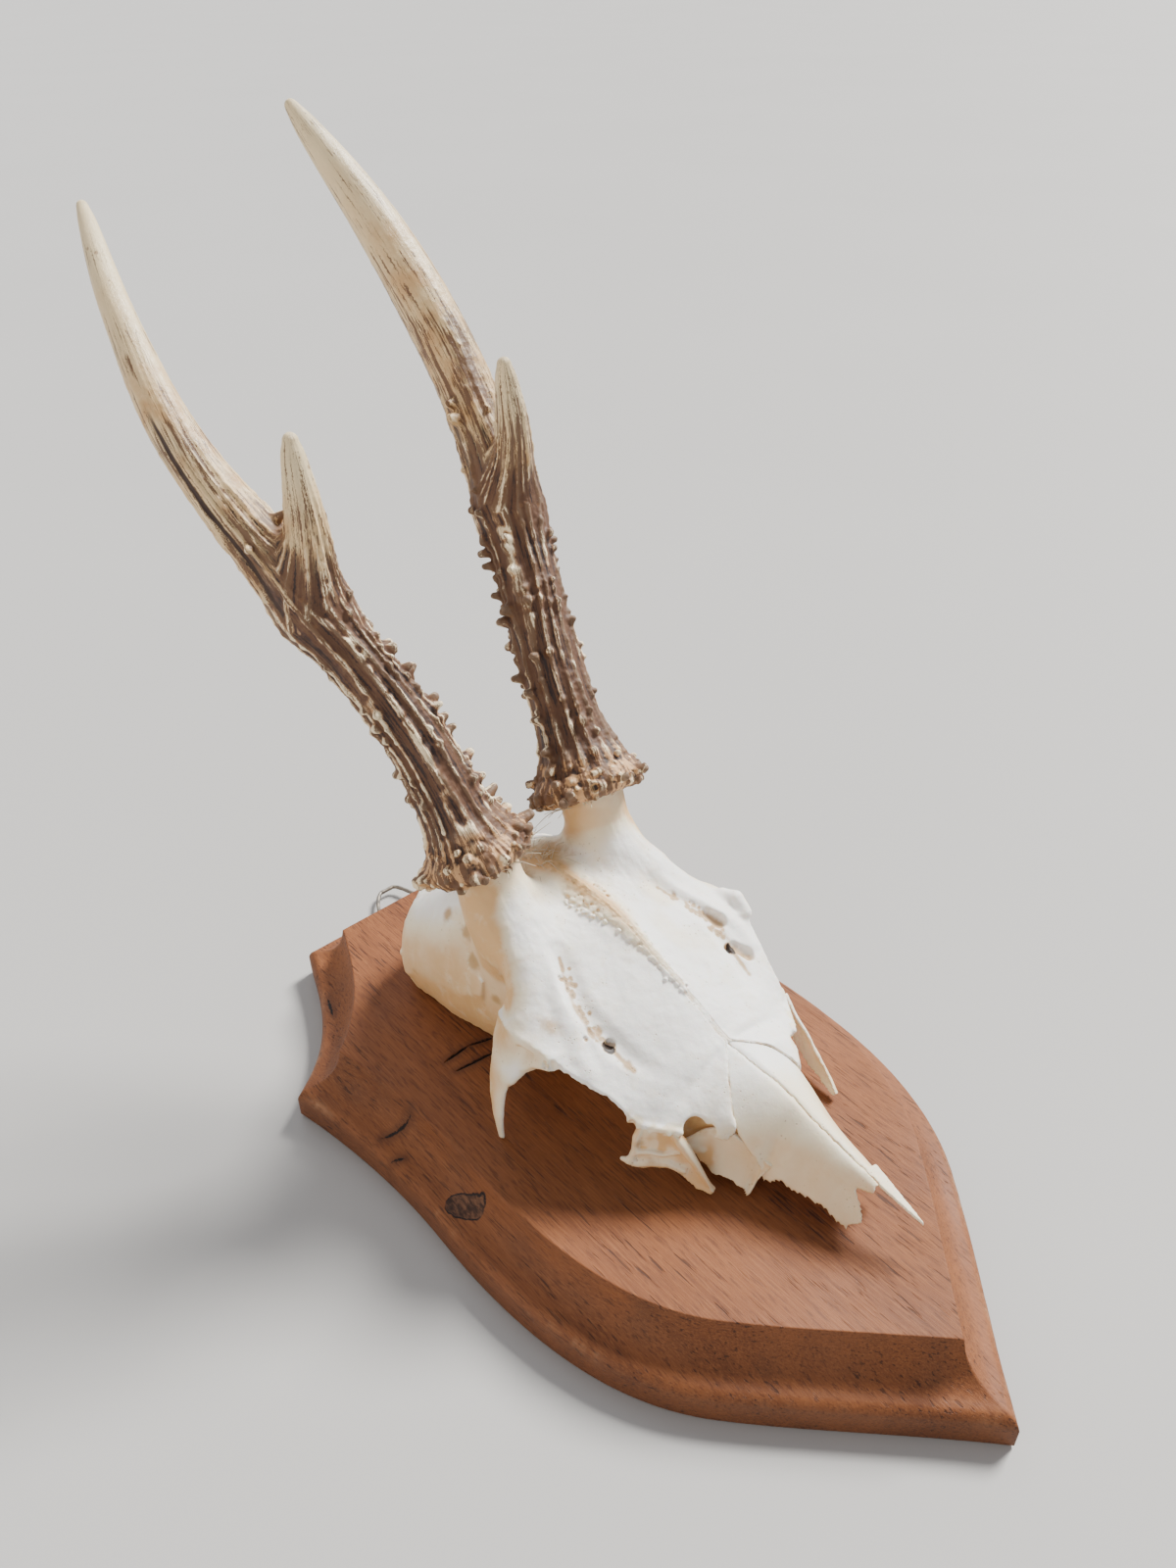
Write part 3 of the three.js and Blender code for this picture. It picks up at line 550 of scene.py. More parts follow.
def wood_material():
    """Reddish-brown hardwood: grain and fine dark pores run the length of the plaque."""
    n = Nodes("plaque_wood")
    place = n.place()
    bands = n.noise(n.scaled(place, (1.0, 0.06, 0.6)), 95, 5, 0.6, 0.6)
    fibre = n.noise(n.scaled(place, (1.0, 0.035, 1.0)), 2300, 4, 0.75)
    ticks = n.noise(n.scaled(place, (1.0, 0.11, 1.0)), 1900, 2, 0.5)
    pores = n.noise(n.scaled(place, (1.0, 0.07, 1.0)), 1500, 2, 0.5)
    patch = n.noise(place, 22, 4, 0.6)
    dust = n.noise(place, 350, 6, 0.7)
    worn, dark = n.attribute("worn"), n.attribute("dark")
    color = n.blend(n.between(bands, 0.3, 0.7), (0.14, 0.043, 0.013), (0.21, 0.069, 0.021))
    color = n.coat(color, (0.24, 0.084, 0.027), patch, 0.4, 0.7, 0.5)
    color = n.coat(color, (0.3, 0.112, 0.038), fibre, 0.42, 0.68, 0.5)
    color = n.coat(color, (0.085, 0.025, 0.009), ticks, 0.54, 0.68, 0.55)
    grooves = n.between(pores, 0.6, 0.68) * n.between(bands, 0.7, 0.4)
    color = n.blend(grooves * 0.75, color, (0.035, 0.012, 0.006))
    color = n.blend(worn * n.between(dust, 0.3, 0.65), color, (0.6, 0.36, 0.2))
    # Painted shade on the plaque's lower sides and in its cove, broken up by dust noise.
    color = n.coat(color, (0.055, 0.033, 0.023), dark + (dust - 0.5) * 0.3, 0.03, 1.0)

    wobble = (n.noise(place, 170, 5, 0.65) - 0.5) * 0.8
    away = n.off_line(place, *KNOT) * (1 / KNOT_RADIUS) + wobble
    heart = n.between(n.noise(n.scaled(place, (1.6, 0.6, 1.0)), 420, 5, 0.7), 0.38, 0.66)
    heart = n.blend(heart, (0.035, 0.014, 0.008), (0.16, 0.07, 0.034))
    color = n.coat(color, heart, away, 1.0, 0.9)
    rim = n.between(abs(away - 0.95), 0.1, 0.03) * n.between(n.noise(place, 130, 3), 0.42, 0.52)
    color = n.blend(rim, color, (0.012, 0.006, 0.005))

    ragged = (n.noise(place, 500, 5, 0.7) - 0.5) * 2.6
    nearest, halo = 9.0, 9.0
    for start, end, _ in CRACKS:
        away = n.off_line(place, start, end)
        halo = n.math("MINIMUM", halo, away)
        nearest = n.math("MINIMUM", nearest, away + abs(ragged))
    split = n.between(nearest, 0.75, 0.35)
    color = n.coat(color, (0.06, 0.022, 0.011), halo + ragged, 3.2, 0.4, 0.45)
    color = n.blend(split, color, (0.008, 0.004, 0.003))
    height = fibre * 0.6 - n.math("MAXIMUM", grooves, rim) - split * 2.0
    return n.finish(color, n.between(patch, 0.3, 0.7, 0.56, 0.7), Normal=n.bump(height, 0.5, 0.0003),
                    Specular_IOR_Level=0.32)


def wire_material():
    n = Nodes("hanger_steel")
    tarnish = n.noise(n.place(), 350, 5)
    color = n.blend(n.between(tarnish, 0.4, 0.65), (0.17, 0.15, 0.13), (0.3, 0.26, 0.21))
    return n.finish(color, n.between(tarnish, 0.3, 0.7, 0.35, 0.6), Normal=n.bump(tarnish, 0.3, 0.0002),
                    Metallic=0.8)


def hair_material():
    n = Nodes("hair")
    color = n.blend(n.noise(n.place(), 500, 2), (0.5, 0.4, 0.26), (0.72, 0.64, 0.5))
    return n.finish(color, 0.5)


# ---------------------------------------------------------------- skull shape
# The skull's own frame: x to the animal's left, y towards the back of the head, z up.
# Heights of the forehead along y: at its middle, in the hollows beside it, at its shoulders and at its rim.
roof_middle = curve_through((-50, 29.5), (-40, 35), (-29, 40.5), (-15, 47.5), (0, 51.5), (12, 51.5),
                            (24, 50.5))
roof_hollow = curve_through((-50, 28.5), (-31, 37.4), (-19, 42.6), (-8, 46.4), (2, 49), (24, 49.5))
roof_shoulder = curve_through((-50, 24), (-40, 29), (-31, 33.6), (-19, 39.6), (-10, 41.8), (-3, 45),
                              (4, 48.6), (12, 46), (24, 43.5))
rim_height = curve_through((-50, 18.5), (-46, 21), (-40, 26.2), (-33, 29.6), (-26, 33), (-18, 35.4),
                           (-10, 34.2), (-3, 31), (4, 33), (14, 32), (26, 28))
rim_half_width = curve_through((-50, 27), (-46, 30.8), (-40, 32.6), (-33, 35.6), (-26, 38.4), (-18, 40.2),
                               (-9, 39.4), (-3, 35), (4, 28.4), (12, 27), (24, 24.6))
wall_half_width = curve_through((-50, 15), (-30, 14.5), (-15, 15), (-4, 17), (4, 22), (12, 26), (24, 26.5))
plate_outer = curve_through((-64, 14.6), (-60, 18.4), (-56, 21.5), (-52, 25.5), (-49, 28))
plate_outer_height = curve_through((-64, 16.8), (-60, 18.4), (-54, 19.4), (-49, 19.6))
nasal_half_width = curve_through((-110, 3.2), (-99, 6.5), (-92.5, 8.4), (-86, 9.8), (-80, 11), (-74, 12.4),
                                 (-68, 13.4), (-63, 12.6), (-58, 8.8), (-54, 4.8), (-50, 0.6))
nasal_middle = curve_through((-112, 9.8), (-98, 15.5), (-84, 20.5), (-69, 26.2), (-60, 28), (-50, 29.2))
nasal_edge = curve_through((-110, 9), (-99, 5.4), (-92.5, 7.2), (-86, 8), (-80, 9.5), (-74, 11.8),
                           (-68, 15.6), (-63, 20.6), (-58, 26), (-54, 28), (-50, 28.9))
nasal_right_edge = curve_through((-110, 8), (-99.5, 5), (-97, 3), (-92, 5.2), (-87.7, 8.2), (-81.6, 7.8),
                                 (-77.8, 9), (-75, 7.4), (-73.2, 7.2), (-71, 12.4), (-68, 15.6), (-63, 20.6),
                                 (-58, 26), (-54, 28), (-50, 28.9))
braincase_roof = curve_through((10, 51), (24, 50), (32, 47.4), (40, 43), (48, 37.4), (55, 31.5),
                               (59, 25.5), (62, 14))
braincase_half_width = curve_through((10, 23), (17, 26.6), (24, 28.2), (32, 29.2), (40, 29.6), (48, 29.6),
                                     (54, 28), (59, 25), (62, 20))
bar_centre = curve_through((0, 46.8), (8, 46), (16, 43), (24, 39.6), (29, 38), (33, 36.4))
bar_lean = curve_through((0, -12), (8, -10.4), (16, -8), (24, -8.6), (29, -10.6), (33, -12.6))
bar_depth = curve_through((0, 0.9), (8, 1.8), (16, 3.3), (24, 6), (29, 8.4), (33, 10))
bar_thickness = curve_through((0, 0.6), (8, 1.0), (24, 1.5), (29, 2.0), (33, 2.8))

bone_noise = Noise(3)

# Where parts of the skull cap end, and what its pedicles and burrs measure.
BROW_FRONT_Y = -50
PLATE_FRONT_Y = -64
PLATE_REAR_Y = -48.5
NASAL_BREAK_Y = -98.0
SPLINTER_TIP_Y = -110.4
BAR_TOP = 34
PEDICLE_FOOT = (19.5, 11.0, 41.0)
PEDICLE_RADIUS = 9.2
BURR_THICKNESS = 9.5

# Over the left eye, seen from above: the foramen, the crease and the tail on both sides of it, two
# hollows, and chips out of the rim. PITS gets the place and size of each small pit as it is carved.
FORAMEN = (24.5, -31.2)
CREASE = [(19.4, -8.2), (21.1, -11.4), (23.8, -15.9), (25.7, -20.7), (26.4, -25.7), (26.0, -29.5)]
FORAMEN_TAIL = [(24.4, -33.0), (24.1, -36.0), (23.6, -38.8)]
RIM_CHIPS_Y = (-23.5, -25.2, -26.9, -29.4, -30.6, -33.8, -38.2, -41.7, -44.4)
HOLLOWS = [((26.0, -21.5), (27.6, -24.5)), ((26.2, -31.5), (28.4, -34.5))]
PITS = []


def arch_through(u, values):
    """A cubic through four heights at shares 0, 0.34, 0.7 and 1 of the half width."""
    shares = (0.0, 0.34, 0.7, 1.0)
    total = 0.0
    for i, own in enumerate(shares):
        term = values[i]
        for j, other in enumerate(shares):
            if j != i:
                term = term * (u - other) / (own - other)
        total = total + term
    return total


def frontal_height(x, y):
    """The height of the forehead's upper face, whether or not bone reaches that far."""
    u = np.clip(np.abs(x) / rim_half_width(y), 0, 1.03)
    return arch_through(u, (roof_middle(y), roof_hollow(y), roof_shoulder(y), rim_height(y)))


def steepness(height, voxel):
    """How much longer a sloping surface's distances are along z than straight off it."""
    across, along = np.gradient(height[:, :, 0], voxel)
    return np.clip(np.sqrt(1 + across**2 + along**2), 1, 3)[:, :, None]


def braincase_distance(x, y, z):
    """The rear of the braincase: a rounded dome, cut off by a bulging back."""
    top, half = braincase_roof(y), braincase_half_width(y)
    level = 0.3 * top
    across = np.abs(x) / (half - 2.6 * np.clip((level - z) / level, 0, 1) ** 1.5)
    upward = np.clip(z - level, 0, None) / (0.7 * top)
    dome = ((across**2.33 + upward**2.44) ** (1 / 2.38) - 1) * 0.9 * np.minimum(half, 0.7 * top)
    back = OCCIPUT_Y - 3.5 * (x / 22) ** 2 - 7 * np.clip((z - 14) / 22, 0, None) ** 2
    return smooth_max(dome, y - back, 5)


def bar_distance(x, y, z):
    """The broken bars of bone behind the eye sockets, flattened ovals that taper downwards."""
    across = (np.abs(x) - bar_centre(z)) / bar_thickness(z)
    along = (y - bar_lean(z)) / bar_depth(z)
    distance = (np.sqrt(across**2 + along**2) - 1) * bar_thickness(z)
    return np.maximum(distance, z - BAR_TOP)


def frontal_distance(field):
    """The forehead: a vaulted roof that overhangs the eye sockets, on a core below it."""
    x, y, z = field.x, field.y, field.z
    across = np.abs(x)
    half = rim_half_width(y)
    wall = wall_half_width(y)
    height = frontal_height(x, y)
    slope = steepness(height, field.voxel)
    outward = np.clip((across - wall) / (half - wall), 0, 1)
    thickness = mix(6.5, 1.7, outward**0.7)
    shelf = smooth_max((height - thickness - z) / slope, across - half, 0.8)
    solid = smoothstep(y, -5, 7)
    foot = 3.4 * np.clip(1 - z / 20, 0, 1) ** 2 * solid
    core = across - mix(wall, half - 0.6, solid) + foot
    body = smooth_max((z - height) / slope, smooth_min(shelf, core, 7), mix(0.8, 12.0, solid))
    body = smooth_max(body, BROW_FRONT_Y - y, 1.0)
    return smooth_max(body, y - CORONAL_SUTURE_Y - 4, 9)


def front_plate_distance(field):
    """The thin front ends of the forehead, on both sides of the nasal bones."""
    x, y, z = field.x, field.y, field.z
    across = np.abs(x)
    teeth = 0.45 * bone_noise(7.5, y, 0.5) + 0.4 * bone_noise(7.5, y / 2.6, 4.5)
    inner, outer = nasal_half_width(y) - 0.25 + teeth, plate_outer(y)
    inner_height = np.minimum(nasal_edge(y) + 0.6, roof_middle(y))
    outer_height = plate_outer_height(y)
    share = np.clip((across - inner) / (outer - inner), 0, 1)
    height = mix(inner_height, outer_height, share) + 4 * share * (1 - share)
    ragged = 0.7 * bone_noise(x / 1.6, y / 1.6, 0.0) + 0.5 * bone_noise(x / 4, y / 4, 3.0)
    slope = steepness(height, field.voxel)
    slab = np.abs(z - height + 0.9) / slope - 0.9 / slope**0.3
    sides = np.maximum(inner - across, across - outer + ragged)
    ends = np.maximum(PLATE_FRONT_Y - y - ragged, y - PLATE_REAR_Y)
    return smooth_max(np.maximum(slab, sides), ends, 0.4)


def on_side(side, path):
    """A path written for the left side of the head, on either side of it."""
    return [(side * a, b, c) for a, b, c in path]


def spot_on(path, first=0.0):
    """A random place on a path, from its point number first onwards; 1.2 lies just past point 1."""
    share = random.uniform(first, len(path) - 1.01)
    return mix(np.array(path[int(share)]), np.array(path[int(share) + 1]), share % 1)


# Ridges and edges on the left side of the skull cap.
PEDICLE_RIDGE = [(20, 14, 50), (21.5, 7, 46.5), (24.5, 0, 42.5), (28, -6, 38), (32.5, -10, 33.5),
                 (36.8, -11, 28.5)]
EYE_ARCH = [(39.2, -24, 32.2), (39.9, -19, 29.6), (40.4, -14.5, 25.6), (41.6, -11, 20)]
REAR_CREST = [(28.6, 49.5, 8), (25, 50.5, 16), (20, 53, 24), (11, 55.6, 31), (0, 56.4, 33)]
FRONT_MARGIN = [(31, -44.5, 20.8), (29.2, -47.6, 19.6), (27, -50.6, 19.2), (25, -53, 19), (23.4, -55, 18.6)]
FRONT_NOTCHES = [((-20.4, -57, 17.8), 3.3), ((-17.6, -59.6, 18), 1.6), ((20, -57.6, 17.8), 2.2)]


def skull_field(antlers):
    """The skull cap as one body, with its ridges, crests, grooves and the crumbs on its sutures."""
    field = Field((-50, -67, 0), (50, 65, 74), SKULL_VOXEL)
    x, y, z = field.x, field.y, field.z
    body = frontal_distance(field)
    body = smooth_min(body, smooth_max(braincase_distance(x, y, z), 8.5 - y, 7), 6)
    body = smooth_min(body, bar_distance(x, y, z), 2.6)
    field.values = smooth_min(body, front_plate_distance(field), 1.6).astype(np.float32)
    for side in (LEFT, RIGHT):
        curve = antlers[side].curve
        top = curve.points[0] - (BURR_THICKNESS / 2 - 1.5) * curve.tangents[4]
        foot = np.array(PEDICLE_FOOT) * (side, 1, 1)
        centres = [foot, mix(foot, top, 0.35), mix(foot, top, 0.7), top]
        field.rods(centres, [10.2, 10, 9.3, PEDICLE_RADIUS], 6)
        field.rods(on_side(side, PEDICLE_RIDGE), [8.0, 7.6, 6.8, 5.6, 4.2, 2.6], 5)
        field.rods(on_side(side, EYE_ARCH), [1.0, 1.1, 1.2, 1.3], 3.0)
        field.rods(on_side(side, REAR_CREST), [1.0, 1.2, 1.4, 1.8, 2.0], 3)
        for _ in range(22):
            spot = spot_on(REAR_CREST) + random.normal(0, 0.6, 3) + (0.6, 1.0, 0)
            size = random.uniform(0.8, 1.6) * mix(0.5, 1.0, smoothstep(spot[2], 12, 18))
            field.ball(spot * (side, 1, 1), size, 1.0)
        field.rods(on_side(side, FRONT_MARGIN), [0.95, 0.85, 0.8, 0.8, 0.7], 0.9)
        for _ in range(16):
            spot = spot_on(FRONT_MARGIN) + random.normal(0, 0.35, 3) + (0.4, 0, -0.6)
            field.ball(spot * (side, 1, 1), random.uniform(0.35, 0.75), 0.4)
        carve_brow(field, side)
    field.rods([(0, -62, 12), (0, -46, 13), (0, -36, 15)], [12, 11, 7], 2.5, carve=True)
    for notch, size in FRONT_NOTCHES:
        field.ball(notch, size, 0.5, stretch=(1, 1, 1.3), carve=True)
    for share in random.uniform(0, 1, SUTURE_GRANULES):
        along = mix(-36, 20, share**0.75)
        scatter = mix(0.5, 2.1, smoothstep(share, 0.0, 0.6))
        across = float(middle_suture(along, 40.0)) + random.normal(0, scatter)
        height = frontal_height(np.float64(across), np.float64(along))
        size = random.uniform(0.38, 0.72) * mix(0.85, 1.1, share)
        field.ball((across, along, height + 0.4 * size + 0.1), size, 0.1, stretch=(0.9, 1.1, 1))
    return field


def carve_brow(field, side):
    """The groove over the eye with its foramen, small vessel pits, and the chipped rim."""
    def on_roof(across, along, lift=0.0):
        return (side * across, along, float(frontal_height(np.float64(across), np.float64(along))) + lift)

    lip = [(21.5, -5), (24, -11.5), (27, -17), (29.3, -22), (31.8, -27), (32.4, -32)]
    field.rods([on_roof(a, b, -2.1) for a, b in lip], [1.8, 2.4, 2.6, 2.4, 1.9, 1.5], 2.4)
    hollow = [(19, -8), (20.6, -12), (22.8, -17), (24.6, -22), (24.6, -27), FORAMEN, (23.4, -38), (21.5, -43)]
    lifts = [3.4, 2.9, 2.7, 2.6, 2.6, 2.7, 2.9, 3.6]
    field.rods([on_roof(a, b, lift) for (a, b), lift in zip(hollow, lifts)], [3.2] * 8, 1.6, carve=True)
    crease = [on_roof(a, b, 0.35) for a, b in CREASE]
    field.rods(crease, [0.5, 1.05, 0.95, 0.7, 0.5, 0.4], 0.15, carve=True)
    for _ in range(36):
        across, along = spot_on(CREASE, 1.2).tolist()
        across += random.normal(-0.9, 0.9)
        along += random.normal(0, 0.4)
        size = random.uniform(0.45, 0.95)
        field.ball(on_roof(across, along, 0.1), size, 0.15, stretch=(1, 1.5, 1), carve=True)
        PITS.append((side * across, along, size))
    field.rods([on_roof(24.6, -26.2, 0.1), on_roof(24.2, -28.2, 0.1)], [0.9, 1.1], 0.3, carve=True)
    mouth = on_roof(*FORAMEN, 0.2)
    field.rods([mouth, (mouth[0] - side * 0.6, mouth[1] + 0.5, mouth[2] - 1.3)], [1.4, 1.2], 0.2, carve=True)
    tail = [on_roof(a, b, lift) for (a, b), lift in zip(FORAMEN_TAIL, (0.3, 0.45, 0.5))]
    field.rods(tail, [1.0, 0.8, 0.4], 0.3, carve=True)
    if side == LEFT:
        for path in HOLLOWS:
            field.rods([on_roof(*spot, 0.2) for spot in path], [1.8, 2.3], 0.35, carve=True)
        knob = [(37.4, -17.5, 36.5), (38.6, -21.5, 36.6), (38.2, -25.5, 34.2)]
        field.rods(knob, [2.2, 2.5, 1.8], 2.0)
    for along in RIM_CHIPS_Y:
        spot = along + random.normal(0, 0.4)
        edge = (side * (float(rim_half_width(spot)) + random.uniform(0.2, 0.8)), spot,
                float(rim_height(spot)) - random.uniform(0.3, 1.8))
        field.ball(edge, random.uniform(0.5, 1.15), 0.3, stretch=(1, 1, 1.8), carve=True)


def nasal_field():
    """The two nasal bones: an arched shell, its front end broken off, with a splinter on the left."""
    field = Field((-16, -113, 1), (16, -48, 32), PLATE_VOXEL * 1.1)
    x, y, z = field.x, field.y, field.z
    across = np.abs(x)
    chips = bone_noise(2.5, y / 3.1, 0.5) + 0.3 * bone_noise(2.5, y / 1.3, z / 2.2)
    half = nasal_half_width(y) + 0.4 * chips * smoothstep(-y, 68, 74)
    crest, edge = nasal_middle(y), np.where(x < 0, nasal_right_edge(y), nasal_edge(y))
    share = np.clip(across / nasal_half_width(y), 0, 1.08)
    height = edge + (crest - edge) * (1 - share**1.7) - 0.35 * bell(x, 0.8)
    slope = steepness(height, field.voxel)
    slab = (np.abs(z - height + 0.7) - 0.7) / slope
    ragged = 1.1 * bone_noise(x / 1.3, 5.5, z / 2) + 0.5 * bone_noise(x / 0.6, 8.5, z / 1.2)
    notch = 4.2 * bell(x + 3.6, 1.2) + 2.2 * bell(x - 5.2, 1.1)
    broken = NASAL_BREAK_Y + ragged + notch - 1.2 * bell(x + 5, 1.4)
    broken = broken + 2.2 * smoothstep(7 - z, 0, 4) + 2.0 * smoothstep(x, 3, 6)
    shell = smooth_max(np.maximum(slab, across - half), broken - y, 0.3)
    sliver_half = curve_through((-110.5, 0.12), (-106, 0.9), (-100, 1.7), (-95, 2.4))(y)
    sliver_top = nasal_middle(y) - 0.2 - 0.3 * np.clip(x, 0, None)
    sliver = np.maximum(np.abs(z - sliver_top + 0.55) - 0.55, np.abs(x - 2.1) - sliver_half)
    sliver = np.maximum(np.maximum(sliver, SPLINTER_TIP_Y - y), y + 94)
    field.values = smooth_min(shell, sliver, 0.5).astype(np.float32)
    return field


def flake_field(upper, lower, thickness, seed, ribs=(), pits=()):
    """A thin broken plate that stands between an upper and a lower edge of (x, y, z) points."""
    edges = []
    for edge in (upper, lower):
        ordered = sorted(edge, key=lambda p: p[1])
        edges.append((curve_through(*[(p[1], p[0]) for p in ordered]),
                      curve_through(*[(p[1], p[2]) for p in ordered])))
    points = np.array(upper + lower)
    field = Field(points.min(0) - 2.5, points.max(0) + 2.5, PLATE_VOXEL)
    x, y, z = field.x, field.y, field.z
    (upper_x, upper_z), (lower_x, lower_z) = edges
    noise = Noise(seed)
    ragged_top = 0.5 * noise(y / 2.2, 0.5, 0.5) + 0.25 * noise(y / 0.8, 0.5, 3.5)
    ragged_foot = 0.8 * noise(y / 2.0, 0.5, 8.5) + 0.4 * noise(y / 0.9, 0.5, 13.5)
    span = np.maximum(upper_z(y) - lower_z(y), 0.5)
    share = np.clip((z - lower_z(y)) / span, -0.2, 1.2)
    sheet = mix(lower_x(y), upper_x(y), share) + 0.9 * np.sin(math.pi * np.clip(share, 0, 1))
    sheet = sheet + 0.35 * noise(0.5, y / 4, z / 4)
    half = thickness / 2 * (1 + 0.35 * noise(1.5, y / 3, z / 3))
    slab = (np.abs(x - sheet) - half) * 0.85
    outline = np.maximum(z - upper_z(y) - ragged_top, lower_z(y) + ragged_foot - z)
    ends = np.maximum(points[:, 1].min() - y + ragged_top, y - points[:, 1].max())
    field.values = smooth_max(slab, np.maximum(outline, ends), 0.3).astype(np.float32)
    field.values = np.broadcast_to(field.values, (x.size, y.size, z.size)).copy()
    for centres, radii in ribs:
        field.rods(centres, radii, 0.8)
    for centres, radii in pits:
        field.rods(centres, radii, 0.5, carve=True)
    return field


# ---------------------------------------------------------------- bone pieces
# The painted tan shade that runs down the outer face of each pedicle to the eye socket, on the left side.
PEDICLE_SHADE_PATH = [(26.5, 13, 57), (27.5, 8, 49), (29.5, 2, 43), (33, -5, 37), (36.5, -12, 32), (38, -19, 32)]

# Single stains: place, radius and strength. The spot at (-29.5, -51, 8.4) is painted shade on the right
# lacrimal's lower flange.
BONE_SPOTS = [
    ((-33.5, -19, 37.5), 4.5, 0.45), ((-34.5, -14, 37.5), 3.5, 0.4), ((-14, 8, 51.5), 4.5, 0.35),
    ((-19, -56, 18), 4.5, 0.75), ((-29.5, -51, 8.4), 2.8, 0.6), ((-23.8, 23.7, 36.6), 3.0, 0.9),
    ((-26.2, 19.8, 30.0), 3.0, 0.9), ((-27.2, 11, 21), 2.4, 0.75), ((-23.5, 34.3, 36.9), 2.6, 0.8),
    ((-29, 45, 11), 2.4, 0.6), ((-24.4, -27.2, 35.2), 1.7, 0.75), ((-23.9, -37, 29.6), 1.7, 0.75),
    ((4, 19.5, 51), 7.5, 0.7), ((10, 17, 53), 3.5, 0.45), ((-8, 17, 51), 5.0, 0.55),
    ((0.5, -49, 30), 2.6, 0.4), ((5.5, -50.5, 29.6), 1.8, 0.4), ((-31, -47.9, 14.2), 2.2, 0.6),
]


def middle_suture(y, z):
    """How far the seam between the left and the right bones strays from the middle."""
    return 0.4 * bone_noise(0.5, y / 1.3, z / 2.5) + 0.35 * bone_noise(0.5, y / 6, 4.5)


def coronal_suture(x, z):
    """Where the seam between the frontal bones and the braincase runs."""
    return CORONAL_SUTURE_Y - 0.12 * (45 - z) + 0.7 * bone_noise(x / 1.8, 2.5, z / 1.8)


def line_distance(spots, path):
    """How far each spot is from a line of places, seen from above."""
    nearest = np.full(len(spots), 1e3)
    for start, end in zip(path[:-1], path[1:]):
        along = np.array(end) - start
        share = np.clip((spots - start) @ along / along.dot(along), 0, 1)
        nearest = np.minimum(nearest, np.linalg.norm(spots - start - share[:, None] * along, axis=1))
    return nearest


def along_middle(x, y):
    """1 on the middle of the forehead, where its suture is crusted, and 0 to its sides."""
    middle = bell(x, mix(1.6, 4.0, smoothstep(y, -34, 6)))
    return middle * smoothstep(y, -40, -16) * smoothstep(-y, -42, -26)


def bone_tan_and_shade(points, normals):
    """How tan bone is, painted shade included: most at the rear, where its sides and lower parts get painted
    shade; painted shade under its edges and down the outer sides of the pedicles; the bone's own tan on
    broken edges.
    """
    x, y, z = points.T
    across = np.abs(x)
    outward = normals[:, 0] * np.sign(x)
    sideways = 1 - np.clip(normals[:, 2], -1, 1)
    rear = smoothstep(y, -16, -4)
    # Painted shade on faces turned sideways at the rear, on faces turned downwards, low down at the rear, and
    # on outward faces low at the front.
    tan = 0.06 + rear * 0.82 * smoothstep(sideways, 0.25, 0.8)
    tan = tan + 0.5 * smoothstep(-normals[:, 2], 0.0, 0.5) + 0.22 * rear * smoothstep(-z, -34, -8)
    tan = tan + 0.35 * (y < 4) * smoothstep(outward, 0.3, 0.8) * smoothstep(24 - z, 0, 8)
    beside = np.stack([across, y, z], axis=1)
    # Painted shade down the outer face of each pedicle, towards the eye socket.
    nearest = np.min([np.linalg.norm(beside - place, axis=1) for place in PEDICLE_SHADE_PATH], axis=0)
    tan = tan + 0.85 * bell(nearest, 7) * smoothstep(outward, 0.1, 0.7)
    tan = tan + 0.85 * along_middle(x, y) + 0.4 * smoothstep(y, 8, 20) * smoothstep(-across, -14, -8)
    cloudy = smoothstep(bone_noise(x / 7 + 3.5, y / 10, 0.5), -0.3, 0.5)
    forehead = cloudy * smoothstep(normals[:, 2], 0.3, 0.7)
    tan = tan + 0.3 * forehead * smoothstep(y, -36, -22) * (across < 24)
    tan = tan + 0.45 * smoothstep(-y, 50, 72)
    edge = line_distance(np.stack([across, y], axis=1), [spot[:2] for spot in FRONT_MARGIN] + [(18, -60)])
    return tan + 0.55 * bell(edge, 1.4) * smoothstep(bone_noise(x / 2, y / 2, z / 2), -0.4, 0.3)


